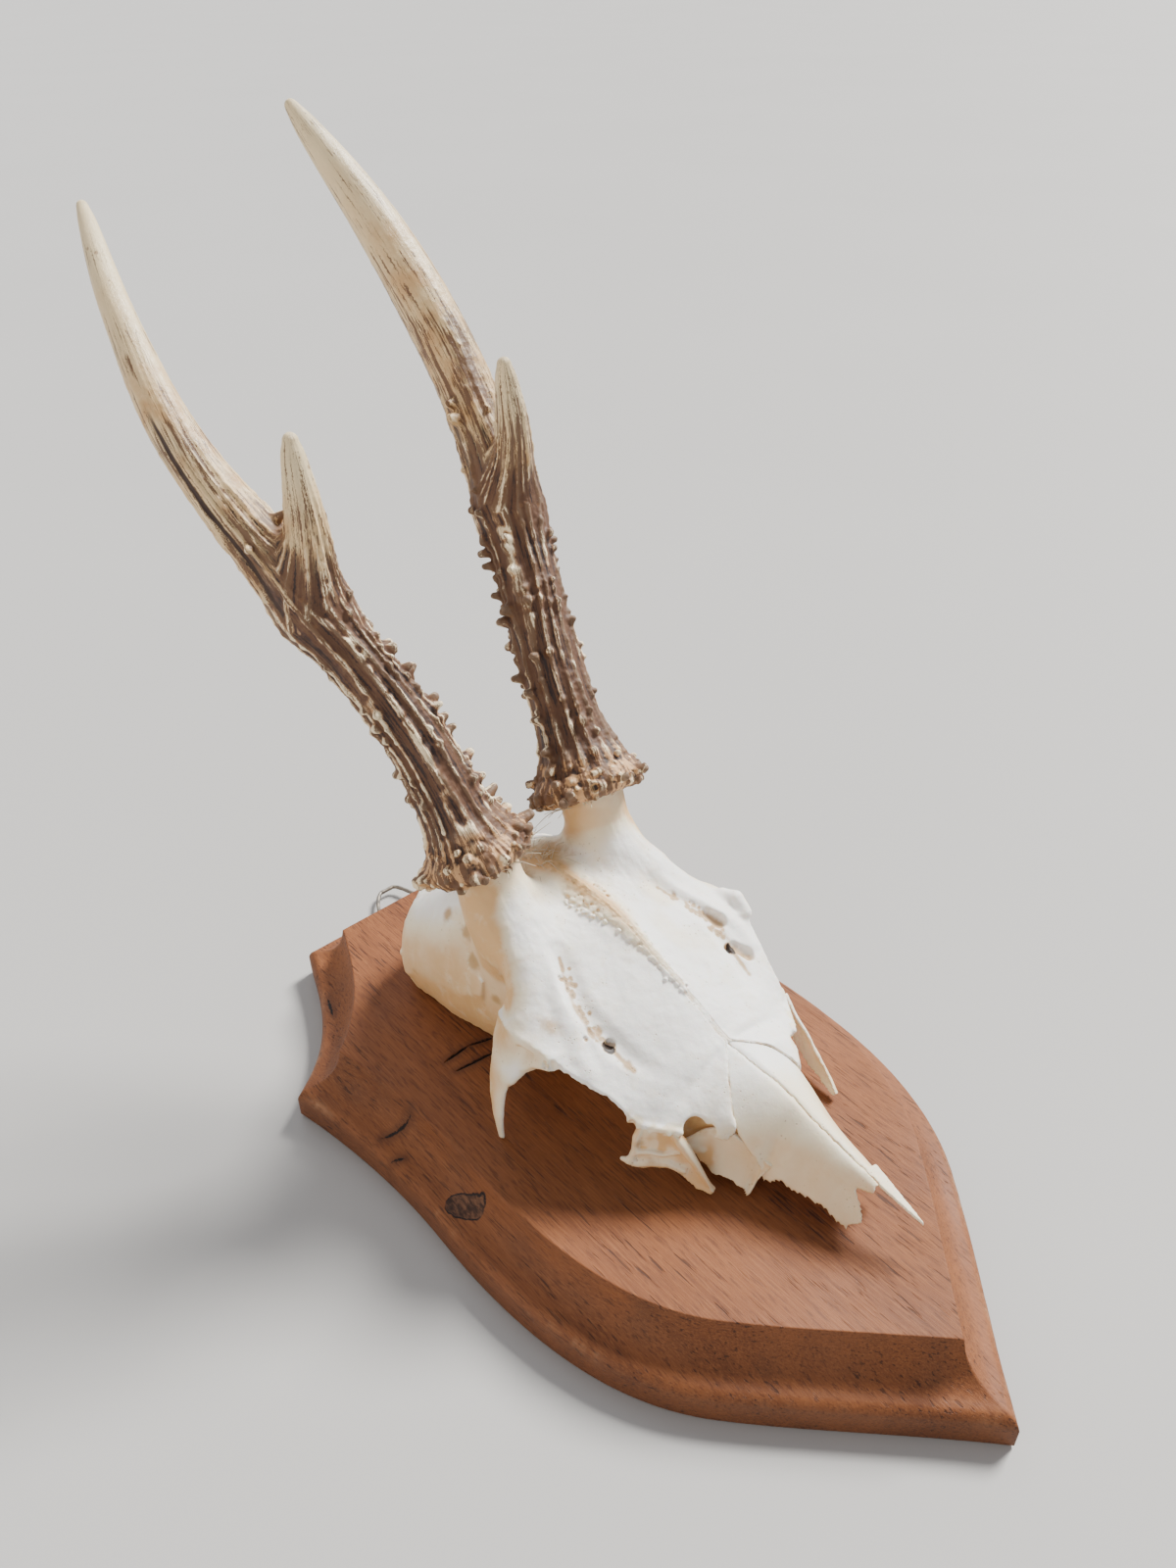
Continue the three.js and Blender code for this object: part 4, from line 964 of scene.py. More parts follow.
def bone_stain(points):
    """How stained bone is, painted shade included: painted shadow in the foramen, painted shade inside the
    nose and between the crumbs of the middle suture, darker in the creases and pits, stained in the hollows
    and single spots.
    """
    x, y, z = points.T
    across = np.abs(x)
    flat = np.stack([across, y], axis=1)
    below = frontal_height(x, y) - z
    upper = below < 5
    # Painted shade inside the nose, under the nasal bones.
    inner = (y < -34) * smoothstep(-(y + 46), 0, 6) * smoothstep(nasal_edge(y) - 2.5 - z, 0, 5)
    stain = 0.65 * inner * (across < nasal_half_width(y) - 0.9)
    # The foramen is painted dark as its shadow, nearly black on the right side.
    hole = np.hypot(across - FORAMEN[0] - 0.4, 0.85 * (y - FORAMEN[1]))
    wall = np.hypot(across - FORAMEN[0] + 0.2, y - FORAMEN[1] - 0.2)
    stain = stain + 0.6 * smoothstep(2.0 - wall, 0, 0.4) * (below < 9)
    # Brown speckles on the suture's crust, as painted shade between its crumbs.
    crumbs = bone_noise(x / 0.8, y / 0.8, z / 0.8)
    stain = stain + 0.5 * along_middle(x, y) * smoothstep(crumbs, 0.0, 0.6) * (y < 18) * (below < 2)
    stain = stain + np.where(x < 0, 1.9, 0.8) * smoothstep(1.6 - hole, 0, 0.3) * (below < 9)
    crease = line_distance(flat, CREASE)
    strength = mix(0.45, 1.3, smoothstep(y, -19, -14)) * (0.7 + 0.6 * bone_noise(x / 1.5, y / 1.5, 4.5))
    stain = stain + upper * (strength * bell(crease, 0.6) * smoothstep(below, -0.7, -0.1)
                             + 0.25 * bell(crease, 2.4) * smoothstep(-y, 13, 20))
    stain = np.maximum(stain, 0.75 * upper * bell(line_distance(flat, FORAMEN_TAIL), 0.9))
    for pit_x, pit_y, size in PITS:
        stain = np.maximum(stain, 1.05 * upper * bell(np.hypot(x - pit_x, y - pit_y), size))
    for path in HOLLOWS:
        stain = np.maximum(stain, 0.8 * (x > 0) * upper * bell(line_distance(flat, path), 1.9))
    for place, radius, strength in BONE_SPOTS:
        distance = np.linalg.norm(points - np.array(place), axis=1)
        stain = np.maximum(stain, strength * bell(distance, radius))
    return stain


def bone_relief(points, normals, strength=1.0):
    """Moves bone's points in and out a little, for its natural unevenness."""
    x, y, z = points.T
    swell = 0.28 * bone_noise(x / 8, y / 8, z / 8) + 0.1 * bone_noise.rough(x / 2.6, y / 2.6, z / 2.6)
    rear = smoothstep(y, 8, 22)
    lines = 0.34 * bone_noise(x / 9, y / 4.6 + z / 14, z / 22) + 0.12 * bone_noise(x / 4, y / 1.6, z / 12)
    column = smoothstep(z, 36, 44) * smoothstep(y, -14, -4) * (1 - rear)
    lines = lines * rear + 0.07 * bone_noise(x / 0.9, y - 0.75 * z, z / 10) * column
    return points + normals * (strength * (swell + lines))[:, None]


def bone_piece(name, field, distances, slot, nodes, strength=1.0, extra_tan_and_shade=0.0):
    """One bone as a mesh, with the values that colour it."""
    points, quads, normals = field.surface(distances)
    points = bone_relief(points, normals, strength)
    points[:, 2] = np.maximum(points[:, 2], CUT_PLANE)
    # The tan and stain values hold painted shade as well as the bone's own tan and stains; the last argument
    # adds more of both.
    tan, stain = bone_tan_and_shade(points, normals) + extra_tan_and_shade, bone_stain(points)
    x, y, z = points.T
    seam = np.abs(x - middle_suture(y, z)) + 9 * (y > CORONAL_SUTURE_Y)
    nasal_seam = np.abs(np.abs(x) - nasal_half_width(y)) + 9 * (y < -66) + 9 * (z < nasal_edge(y) - 1.5)
    seam = np.minimum(seam, np.clip(nasal_seam - 0.15, 0, None))
    make_piece(name, on_plaque(points), [quads], BONE, slot, nodes, tan=tan, stain=stain, seam=seam)


def skull_pieces(antlers):
    """The skull cap, cut along its sutures into two frontal bones and the braincase."""
    field = skull_field(antlers)
    x, y, z = field.x, field.y, field.z
    middle = middle_suture(y, z)
    coronal = coronal_suture(x, z)
    grown = np.maximum(field.values, CUT_PLANE - z)
    front = np.maximum(grown, y - coronal - SUTURE_LAP)
    for side, name in SIDE_NAMES.items():
        lowered = 0.03 if side == LEFT else 0
        half = np.maximum(front + lowered, -SUTURE_LAP - side * (x - middle))
        bone_piece(f"frontal_bone_{name}", field, half, "bone",
                   [f"frontal_{name}", f"postorbital_process_{name}"])
    rear = np.maximum(grown + 0.05, coronal - SUTURE_LAP - y)
    bone_piece("braincase_bone", field, rear, "aged_bone", ["braincase"])


def nasal_pieces():
    """The nasal bones, cut apart along the middle."""
    field = nasal_field()
    middle = middle_suture(field.y, 0 * field.z)
    for side, name in SIDE_NAMES.items():
        half = np.maximum(field.values, 0.03 - side * (field.x - middle))
        bone_piece(f"nasal_bone_{name}", field, half, "bone", [f"nasal_{name}"], 0.35)


def flakes():
    """The broken plates that are left of the sides of the nose, in front of the eyes."""
    right_lacrimal = (
        [(-29.4, -47.0, 19.5), (-28.4, -48.6, 19.2), (-26.3, -51.4, 18.8), (-24.4, -53.6, 18.2),
         (-23.3, -56.9, 15), (-22.6, -60, 9.6), (-22.3, -62.4, 5.8), (-22, -64.8, 2.6)],
        [(-32.6, -46.6, 8.2), (-32.3, -46.9, 5.8), (-31.7, -47.6, 6.6), (-30.8, -49.2, 5.6),
         (-28.8, -51.4, 6.6), (-26.5, -55.4, 7.4), (-24.8, -58.7, 3.6), (-22, -64.8, 1.6)])
    left_lacrimal = (
        [(31.2, -46.4, 20.6), (29.8, -50, 18.6), (29.2, -54, 15.2), (28.6, -59, 11), (27.4, -64, 7),
         (25.4, -69.4, 2.4)],
        [(33.2, -46, 8), (31.5, -51, 4.8), (29.4, -56.6, 3), (27.8, -61.6, 1.8), (25.4, -69.6, 1.3)])
    upper_maxilla = [(21.4, -54, 12.6), (19.6, -55.6, 14.6), (17.4, -57.4, 16.4), (14.2, -61.5, 17.4),
                     (12.2, -66.5, 15), (11.2, -71, 12.5), (10.8, -74.4, 11)]
    lower_maxilla = [(21.8, -54, 10.4), (20.8, -55.6, 9.6), (19.8, -57.4, 8.2), (19, -59.6, 6),
                     (18.4, -60.9, 4.6), (17.4, -65.3, 3.9), (16.2, -70, 2.6), (15.6, -71.6, 0.9),
                     (14.4, -72.7, 6.4), (11.8, -74.4, 10)]
    upper_inner = [(20.5, -49, 21.4), (17.5, -53.5, 21.4), (14.6, -58, 21.2), (12.6, -62.5, 19.4),
                   (11.2, -66, 16)]
    lower_inner = [(22.5, -49, 9), (20, -53.5, 8.4), (17.4, -58, 7.6), (15, -62.5, 8), (13, -66, 9)]
    hook = [(-33.9, -44.3, 8.4), (-32.9, -45.8, 8), (-31.4, -47.6, 7.4), (-29.4, -50.6, 8.2),
            (-27, -54.2, 8.8), (-25, -57.4, 7)]
    ribs = [(hook, [0.55, 1.0, 1.1, 1.0, 0.95, 0.9]),
            ([(-29.8, -46.8, 19.4), (-31, -46.4, 16), (-31.6, -46.6, 11.6), (-32.6, -46.2, 9)],
             [0.8, 0.95, 0.9, 0.9]),
            ([(-32.2, -46.6, 11), (-30, -49.6, 12), (-27.6, -52.8, 11.4), (-25, -55.6, 12.4)],
             [0.5, 0.6, 0.6, 0.4]),
            ([(-24.9, -53.0, 18.4), (-24.2, -56.0, 15.0), (-23.4, -59.4, 10.8), (-22.6, -62.4, 6.2),
              (-22, -64.6, 2.4)], [0.9, 1.25, 1.2, 0.9, 0.5])]
    pits = [([(-34, -48, 13.4), (-31.6, -48.4, 14)], [1.5, 1.1])]
    # The last number passed to bone_piece adds tan with painted shade: most on the inner bones deep in the
    # nose and on the right lacrimal's hollow face.
    field = flake_field(*right_lacrimal, 1.3, 11, ribs, pits)
    bone_piece("lacrimal_bone_right", field, field.values, "bone", ["lacrimal_right"], 0.5, 0.45)
    field = flake_field(*left_lacrimal, 1.2, 12)
    bone_piece("lacrimal_bone_left", field, field.values, "bone", ["lacrimal_left"], 0.5, 0.2)
    for side, name in SIDE_NAMES.items():
        field = flake_field(on_side(side, upper_maxilla), on_side(side, lower_maxilla), 1.2, 15 + side)
        bone_piece(f"maxilla_bone_{name}", field, field.values, "aged_bone", [f"maxilla_{name}"], 0.5, 0.1)
        field = flake_field(on_side(side, upper_inner), on_side(side, lower_inner), 1.1, 25 + side)
        bone_piece(f"inner_bone_{name}", field, field.values, "aged_bone", [], 0.5, 0.8)


# ---------------------------------------------------------------- antlers
FORWARD = np.array([0.0, -1.0, 0.0])


class Curve:
    """A smooth curve through points, sampled evenly, with directions square to it."""

    def __init__(self, points, spacing=1.0):
        p = np.array(points, float)
        p = np.vstack([2 * p[0] - p[1], p, 2 * p[-1] - p[-2]])
        dense = []
        for i in range(1, len(p) - 2):
            p0, p1, p2, p3 = p[i - 1:i + 3]
            d0, d1, d2 = (np.linalg.norm(b - a) ** 0.5 for a, b in ((p0, p1), (p1, p2), (p2, p3)))
            start = ((p1 - p0) / d0 - (p2 - p0) / (d0 + d1) + (p2 - p1) / d1) * d1
            end = ((p2 - p1) / d1 - (p3 - p1) / (d1 + d2) + (p3 - p2) / d2) * d1
            t = np.linspace(0, 1, 200, endpoint=i == len(p) - 3)[:, None]
            dense.append(p1 * (2 * t**3 - 3 * t**2 + 1) + p2 * (3 * t**2 - 2 * t**3)
                         + start * (t**3 - 2 * t**2 + t) + end * (t**3 - t**2))
        dense = np.vstack(dense)
        lengths = lengths_along(dense)
        self.length = lengths[-1]
        self.distances = np.linspace(0, self.length, int(self.length / spacing) + 1)
        self.points = points_at(self.distances, lengths, dense)
        self.tangents = unit(np.gradient(self.points, axis=0))
        self.fronts = unit(FORWARD - self.tangents * (self.tangents @ FORWARD)[:, None])
        self.sides = np.cross(self.tangents, self.fronts)

    def at(self, distance):
        return points_at(distance, self.distances, self.points)

    def outward(self, distance, angle):
        """The direction at an angle round the curve: 0 faces forwards, a quarter turn to the left."""
        last = len(self.distances) - 1
        i = int(np.clip(round(distance / self.length * last), 0, last))
        return math.cos(angle) * self.fronts[i] + math.sin(angle) * self.sides[i]


def tube_coordinates(field, curve, reach):
    """For each cell near a curve: distance along it, distance from it and angle round it."""
    shape = field.values.shape
    nearest = np.full(shape, 1e6, np.float32)
    along = np.zeros(shape, np.float32)
    away = np.full(shape, 1e3, np.float32)
    angle = np.zeros(shape, np.float32)
    block = 6
    for first in range(0, len(curve.points) - 1, block):
        chosen = slice(first, min(first + block + 1, len(curve.points)))
        centres = curve.points[chosen].astype(np.float32)
        window = field.window(centres.min(0) - reach, centres.max(0) + reach)
        x, y, z = field.near(window)
        best = np.full(np.broadcast_shapes(x.shape, y.shape, z.shape), 1e6, np.float32)
        index = np.zeros(best.shape, np.int32)
        for i, centre in enumerate(centres):
            square = (x - centre[0]) ** 2 + (y - centre[1]) ** 2 + (z - centre[2]) ** 2
            closer = square < best
            best[closer] = square[closer]
            index[closer] = i + first
        update = best < nearest[window]
        i = index[update]
        place = np.stack(np.broadcast_arrays(x, y, z), axis=-1)[update] - curve.points[i]
        forward = np.einsum("ij,ij->i", place, curve.tangents[i])
        square_off = place - forward[:, None] * curve.tangents[i]
        front = np.einsum("ij,ij->i", square_off, curve.fronts[i])
        side = np.einsum("ij,ij->i", square_off, curve.sides[i])
        past_tip = np.where(i == len(curve.points) - 1, np.maximum(forward, 0), 0)
        beyond = np.where(i == 0, np.minimum(forward, 0), past_tip)
        for target, value in ((nearest, best[update]), (along, curve.distances[i] + forward),
                              (away, np.sqrt(front**2 + side**2 + beyond**2)),
                              (angle, np.arctan2(side, front))):
            part = target[window]
            part[update] = value
            target[window] = part
    return along, away, angle


class Antler:
    """One antler: its curves, its thickness along them, and how its surface varies."""

    def __init__(self, side, beam, front_tine, radius, burr_radius, seed):
        self.side = side
        self.name = SIDE_NAMES[side]
        self.curve = Curve(beam)
        self.radius = curve_through(*radius)
        self.burr_radius = burr_radius
        self.noise = Noise(seed)
        self.random = np.random.default_rng(seed)
        self.fork = 0.42 * self.curve.length
        base = self.curve.at(self.fork - 0.03 * self.curve.length)
        tip = np.array(front_tine, float)
        forward = self.curve.tangents[int(self.fork)]
        middle = mix(base, tip, 0.5) + 1.5 * forward + np.array([0, -3.2, 0])
        self.tine = Curve([base, middle, tip])


ANTLERS = {
    RIGHT: Antler(
        RIGHT,
        [(-21.1, 20.7, 66.4), (-25.8, 37.6, 99.5), (-36.8, 65.6, 137.2), (-43.8, 91.2, 166.1),
         (-40.1, 116.2, 191), (-31.7, 140.4, 211.0)],
        (-33.2, 59, 171.3),
        [(0, 12.4), (6, 10.7), (13, 9.1), (25, 8.0), (60, 7.6), (84, 8.0), (100, 7.2), (112, 6.4),
         (135, 5.4), (155, 4.2), (175, 3.2), (188, 2.2), (192, 1.6), (195, 1.1)],
        16.9, 31),
    LEFT: Antler(
        LEFT,
        [(20.7, 20.4, 67.1), (26.7, 41.2, 98.5), (35.9, 64, 130.5), (41.7, 90.2, 165.4), (40.1, 116.1, 197.6),
         (32.7, 140.9, 227.3)],
        (33, 59.8, 173.6),
        [(0, 13.6), (6, 11.8), (13, 10.1), (25, 8.9), (60, 8.6), (84, 8.6), (100, 8.2), (118, 7.9),
         (140, 7.7), (160, 6.9), (180, 5.4), (196, 3.4), (202, 2.1), (205, 1.3)],
        18.0, 47),
}
TINE_RADIUS = curve_through((0, 7.4), (0.3, 6.0), (0.5, 5.0), (0.67, 4.3), (0.82, 3.5), (0.93, 2.8), (1, 1.9))
RIDGE_PAIRS = 8


def ridge_wave(noise, along, angle):
    """A wavering value that is zero along the crests of an antler's ridges."""
    c, s = np.cos(angle), np.sin(angle)
    turn = RIDGE_PAIRS * angle + 2.6 * noise(c * 1.3, s * 1.3, along / 30)
    return np.sin(turn) + 0.7 * noise(c * 3.3, s * 3.3, along / 16)


def ridge_crest(noise, along, angle):
    """Near 1 along the crest of a ridge, beaded and broken here and there, and 0 between ridges."""
    c, s = np.cos(angle), np.sin(angle)
    beads = 0.85 + 0.5 * noise(c * 4, s * 4, along / 1.7)
    gaps = smoothstep(noise(c * 2.4, s * 2.4, along / 9 + 3.5), -1.0, -0.35)
    return bell(ridge_wave(noise, along, angle), 0.64) * beads * gaps


def furrows(noise, along, angle, crest):
    """The surface between 0 at the bottom of a furrow and 1 on the crest of a ridge."""
    c, s = np.cos(angle) * 7.5, np.sin(angle) * 7.5
    fine = 0.5 + 0.5 * noise(c, s, along / 7 + 9.5)
    grain = 0.5 + 0.5 * noise(c * 1.6, s * 1.6, along / 0.9)
    return 0.8 * crest + 0.28 * fine + 0.16 * grain


def antler_field(antler):
    """The antler's shape without its pearls, and what its material needs to know of each cell."""
    curve, noise = antler.curve, antler.noise
    everything = np.vstack([curve.points, antler.tine.points])
    reach = antler.burr_radius + 2.5
    low = everything.min(0) - np.array([12, 14, 12])
    high = everything.max(0) + 8
    foot = curve.points[0]
    low = np.minimum(low, foot - reach)
    high = np.maximum(high, foot + np.array([reach, reach, 0]))
    field = Field(low, high, ANTLER_VOXEL)
    along, away, angle = tube_coordinates(field, curve, 15)
    tine_along, tine_away, tine_angle = tube_coordinates(field, antler.tine, 11)
    beam = away - antler.radius(along).astype(np.float32)
    share = tine_along / antler.tine.length
    tine = tine_away - TINE_RADIUS(share).astype(np.float32)

    # The beam's ridges, furrows and rim, and the right beam's long groove.
    near = np.abs(beam) < 3
    s, a = along[near], angle[near]
    low_down = 1 - smoothstep(s, antler.fork - 12, antler.fork + 55)
    depth = (0.22 + 1.0 * low_down) * smoothstep(curve.length - s, 4, 60)
    swell = 0.5 * noise(np.cos(a) * 1.4, np.sin(a) * 1.4, s / 11)
    rim = 0.8 * bell(s - 5.5, 4)
    crest = np.zeros(beam.shape, np.float32)
    crest[near] = ridge_crest(noise, s, a)
    beam[near] -= depth * (furrows(noise, s, a, crest[near]) - 0.35) + 0.5 * swell * depth + rim
    groove = np.zeros(beam.shape, np.float32)
    if antler.side == RIGHT:
        groove_angle = math.radians(-62) + 0.1 * noise(0.5, 0.5, s / 12)
        off = turn_between(a, groove_angle) * antler.radius(s)
        above = smoothstep(s, antler.fork - 22, antler.fork + 4)
        beam[near] += (0.75 * bell(off, 0.75) * above
                       * (1 - smoothstep(s, antler.fork + 42, antler.fork + 60)))
        groove[near] = (bell(off, 0.95) * above
                        * (1 - smoothstep(s, antler.fork + 42, antler.fork + 62)))

    # The front tine's ridges.
    near = np.abs(tine) < 3
    t, a = tine_along[near], tine_angle[near]
    depth = 0.85 * (1 - smoothstep(t / antler.tine.length, 0.4, 0.95)) + 0.08
    tine_crest = np.zeros(tine.shape, np.float32)
    tine_crest[near] = ridge_crest(noise, t + 50, a)
    tine[near] -= depth * (furrows(noise, t + 50, a, tine_crest[near]) - 0.35)

    # Both together.
    beam = smooth_max(beam, -along - 3, 1.0)
    tine_first = tine < beam
    on_tine = smoothstep(beam - tine, -2, 7)
    groove[tine_first] = 0
    crest = np.where(tine_first, tine_crest, crest)
    field.values = smooth_min(beam, tine, 8).astype(np.float32)
    flow_along = np.where(tine_first, tine_along + antler.fork, along)
    flow_angle = np.where(tine_first, tine_angle, angle)
    bare_beam = np.clip((along - antler.fork + 12) / (curve.length - antler.fork), 0, 1)
    bare_tine = np.clip((share - 0.27) / 0.65, 0, 1)
    bare = mix(bare_beam, bare_tine, on_tine).astype(np.float32)
    return field, flow_along, flow_angle, bare, groove, crest


def pearls(antler, field):
    """Beads on the ridges: large and thorny low down and on the inner side, few above the fork."""
    curve, draw = antler.curve, antler.random
    inner = math.pi / 2 * -antler.side
    spread = np.linspace(-0.3, 0.3, 25)
    for _ in range(PEARL_TRIES):
        along = 5 + (antler.fork + 22) * draw.uniform(0, 1) ** 1.1
        angle = draw.uniform(-math.pi, math.pi)
        crest = np.abs(ridge_wave(antler.noise, along, angle + spread)).argmin()
        angle = angle + spread[crest]
        off_inner = turn_between(angle, inner)
        favour = 0.3 + 0.7 * math.exp(-(off_inner**2))
        if draw.uniform() > favour * (1 - 0.8 * float(smoothstep(along, 60, antler.fork + 15))):
            continue
        large = draw.uniform() < 0.3
        size = draw.uniform(1.0, 1.55) if large else draw.uniform(0.5, 0.9)
        out = curve.outward(along, angle)
        base = curve.at(along) + out * (float(antler.radius(along)) + 0.35)
        thorn = large and off_inner < 0.9
        height = size * draw.uniform(0.35, 0.8) + (draw.uniform(0.4, 2.0) if thorn else 0)
        rise = curve.tangents[min(int(along), len(curve.tangents) - 1)] * draw.uniform(-0.3, 0.5)
        field.rods([base - out * 1.2, base + (out + rise) * height], [size * 1.5, size * 0.8], 0.7)


# Rows of lobes round a burr, from the lowest up: height, reach as a share of the radius, count and size.
BURR_ROWS = [(-2.8, 0.9, 20, 1.7), (-0.5, 1.03, 16, 2.1), (2.4, 0.89, 18, 1.6), (4.9, 0.74, 15, 1.3)]


def burr(antler, field):
    """The crown of stubby lobes round the antler's foot, with crumbly hollows between them."""
    curve, draw = antler.curve, antler.random
    centre = curve.points[0]
    axis = curve.tangents[3]
    front = FORWARD - axis * axis.dot(FORWARD)
    front /= np.linalg.norm(front)
    across = np.cross(axis, front)
    radius = antler.burr_radius

    def spot(turn, share, level):
        out = math.cos(turn) * front + math.sin(turn) * across
        return centre + out * radius * share + axis * level

    for turn in np.linspace(0, 2 * math.pi, 30, endpoint=False):
        field.ball(spot(turn, 0.66, -0.3), 3.3, 2.5)
    for level, share, count, size in BURR_ROWS:
        for k in range(count):
            turn = 2 * math.pi * (k + draw.uniform(-0.4, 0.4)) / count
            lobe = share * (1 + 0.05 * math.sin(5 * turn + antler.side) + draw.normal(0, 0.06))
            lift = level + draw.normal(0, 0.8)
            thick = size * draw.uniform(0.7, 1.25)
            inside, outside = spot(turn, 0.55, lift * 0.6), spot(turn, lobe - thick / radius, lift)
            field.rods([inside, outside], [thick * 1.3, thick * 0.8], 0.6)
    for _ in range(BURR_CRUMBS):
        turn = draw.uniform(0, 2 * math.pi)
        level = draw.uniform(-4, 7)
        share = 0.97 - 0.045 * abs(level + 0.5) + draw.normal(0, 0.03)
        field.ball(spot(turn, share - 0.05, level), draw.uniform(0.45, 0.95), 0.5)
    for _ in range(BURR_CHIPS):
        turn = draw.uniform(0, 2 * math.pi)
        level = draw.uniform(-4.5, 4)
        field.ball(spot(turn, draw.uniform(0.94, 1.08) - 0.02 * abs(level), level), draw.uniform(0.7, 1.5),
                   0.9, carve=True)


def antler_piece(antler):
    """One antler as a mesh, with the values that colour it."""
    field, along, angle, bare, furrow, crest = antler_field(antler)
    pearls(antler, field)
    burr(antler, field)
    points, quads, normals = field.surface(field.values)
    # How far each point stands out from its surroundings; the material paints tips lighter and hollows darker
    # with it, partly as painted highlight and painted shade.
    shallow = np.clip(field.values, -4, 4)
    relief = field.sample(blurred(shallow, max(1, round(1.9 / field.voxel))) - shallow, points)
    cell = np.clip(np.round((points - field.low) / field.voxel).astype(int), 0,
                   np.array(field.values.shape) - 1)
    s, a, worn = (grid[tuple(cell.T)] for grid in (along, angle, bare))
    x, y, z = points.T
    near_burr = 1 - smoothstep(s, 5, 13)
    rough = 0.08 * (1 - worn) + 0.16 * near_burr
    grit = rough * antler.noise.rough(x / 1.1, y / 1.1, z / 1.1, 2)
    points = points + normals * grit[:, None]
    flow = np.stack([np.cos(a) * 4.5, np.sin(a) * 4.5, s / 9], axis=1)
    nodes = [f"antler_{antler.name}_{part}" for part in ("burr", "beam", "main_tine", "front_tine")]
    make_piece(f"antler_{antler.name}", on_plaque(points), [quads], ANTLER, "antler_brown", nodes,
               relief=relief / mix(0.35, 0.5, near_burr), crest=field.sample(crest, points), bare=worn,
               furrow=field.sample(furrow, points), low=near_burr, flow=flow,
               streaky=np.full(len(points), 0.55 if antler.side == RIGHT else 1.0))


# ---------------------------------------------------------------- shield plaque
def bezier(a, b, c, d, count=120):
    """Points of a curve with four control points, and its directions."""
    t = np.linspace(0, 1, count)[:, None]
    a, b, c, d = (np.array(p, float) for p in (a, b, c, d))
    spots = a * (1 - t)**3 + 3 * b * t * (1 - t)**2 + 3 * c * t**2 * (1 - t) + d * t**3
    heading = 3 * ((b - a) * (1 - t)**2 + 2 * (c - b) * t * (1 - t) + (d - c) * t**2)
    return spots, unit(heading)


TIP_Y = -BOARD_LENGTH / 2
TOP_Y = BOARD_LENGTH / 2
BELLY = (46, TIP_Y + 49)
WAIST = (WAIST_HALF_WIDTH, 12)
SHOULDER = (SHOULDER_HALF_WIDTH, SHOULDER_Y)
SIDE_CURVES = [
    bezier((0, TIP_Y), (15, TIP_Y + 17), (34, TIP_Y + 35), BELLY),
    bezier(BELLY, (62, TIP_Y + 67), (69, -30), WAIST),
    bezier(WAIST, (66.6, 32), (69.5, 55), SHOULDER),
]
NOTCH_CURVE = bezier(SHOULDER, (56, 83), (50.5, 94), (BOARD_TOP_HALF_WIDTH, TOP_Y))


def moved_inwards(curve, distance):
    """A line's points, moved squarely off it."""
    spots, heading = curve
    return spots + np.stack([-heading[:, 1], heading[:, 0]], axis=1) * distance


def flat_cross(a, b):
    """The cross product of vectors that lie flat."""
    return a[..., 0] * b[..., 1] - a[..., 1] * b[..., 0]


def crossing(first, second):
    """Where two lines of points cross: the last segment of the first that crosses the second."""
    along = (first[1:] - first[:-1])[:, None]
    other = (second[1:] - second[:-1])[None]
    between = second[None, :-1] - first[:-1, None]
    turn = flat_cross(along, other)
    turn = np.where(np.abs(turn) < 1e-12, 1e-12, turn)
    t = flat_cross(between, other) / turn
    u = flat_cross(between, along) / turn
    i, j = np.argwhere((t >= 0) & (t <= 1) & (u >= 0) & (u <= 1))[-1]
    return i, j, first[i] + along[i, 0] * t[i, j]


def resampled(spots, count):
    """The same line with its points spread evenly."""
    lengths = lengths_along(spots)
    return points_at(np.linspace(0, lengths[-1], count + 1), lengths, spots)


def board_outline(distance, side_count, notch_count, top_count):
    """The plaque's outline with every edge moved in by one distance, its corners kept sharp."""
    side = np.vstack([moved_inwards(curve, distance) for curve in SIDE_CURVES])
    notch = moved_inwards(NOTCH_CURVE, distance)
    if distance > 0:
        low, _, tip = crossing(side[:100], np.array([(0.0, TOP_Y), (0.0, TIP_Y - 1)]))
        i, j, shoulder = crossing(side, notch)
        high, _, corner = crossing(notch, np.array([(200.0, TOP_Y - distance), (-1.0, TOP_Y - distance)]))
    else:
        low, tip, i, j, shoulder = 0, side[0], len(side) - 2, 0, side[-1]
        high, corner = len(notch) - 2, notch[-1]
    rising = np.vstack([tip, side[low + 1:i + 1], shoulder])
    across = np.vstack([shoulder, notch[j + 1:high + 1], corner])
    half = np.vstack([resampled(rising, side_count)[:-1], resampled(across, notch_count)[:-1]])
    top = resampled(np.array([corner, corner * (-1, 1)]), top_count)
    mirrored = half[1:][::-1] * (-1, 1)
    return np.vstack([half, top, mirrored])


# The plaque's edge from its back up to its face: how far in, and how high.
MOULDING = [(0.5, 0), (0.12, 0.25), (0, 0.6), (0, 3), (0, EDGE_HEIGHT - 3.4), (0.25, EDGE_HEIGHT - 2.4),
            (0.9, EDGE_HEIGHT - 1.2), (1.7, EDGE_HEIGHT - 0.4), (2.6, EDGE_HEIGHT), (3.6, EDGE_HEIGHT + 0.16),
            (4.8, EDGE_HEIGHT + 0.5), (6.2, EDGE_HEIGHT + 1.2), (7.6, EDGE_HEIGHT + 2.2),
            (9.0, EDGE_HEIGHT + 3.7), (10.2, EDGE_HEIGHT + 5.6), (11.1, EDGE_HEIGHT + 8.0),
            (11.62, EDGE_HEIGHT + 10.4), (11.82, BOARD_THICKNESS - 0.6), (11.92, BOARD_THICKNESS - 0.16),
            (MOULDING_WIDTH + 0.05, BOARD_THICKNESS - 0.02), (MOULDING_WIDTH + 0.35, BOARD_THICKNESS)]


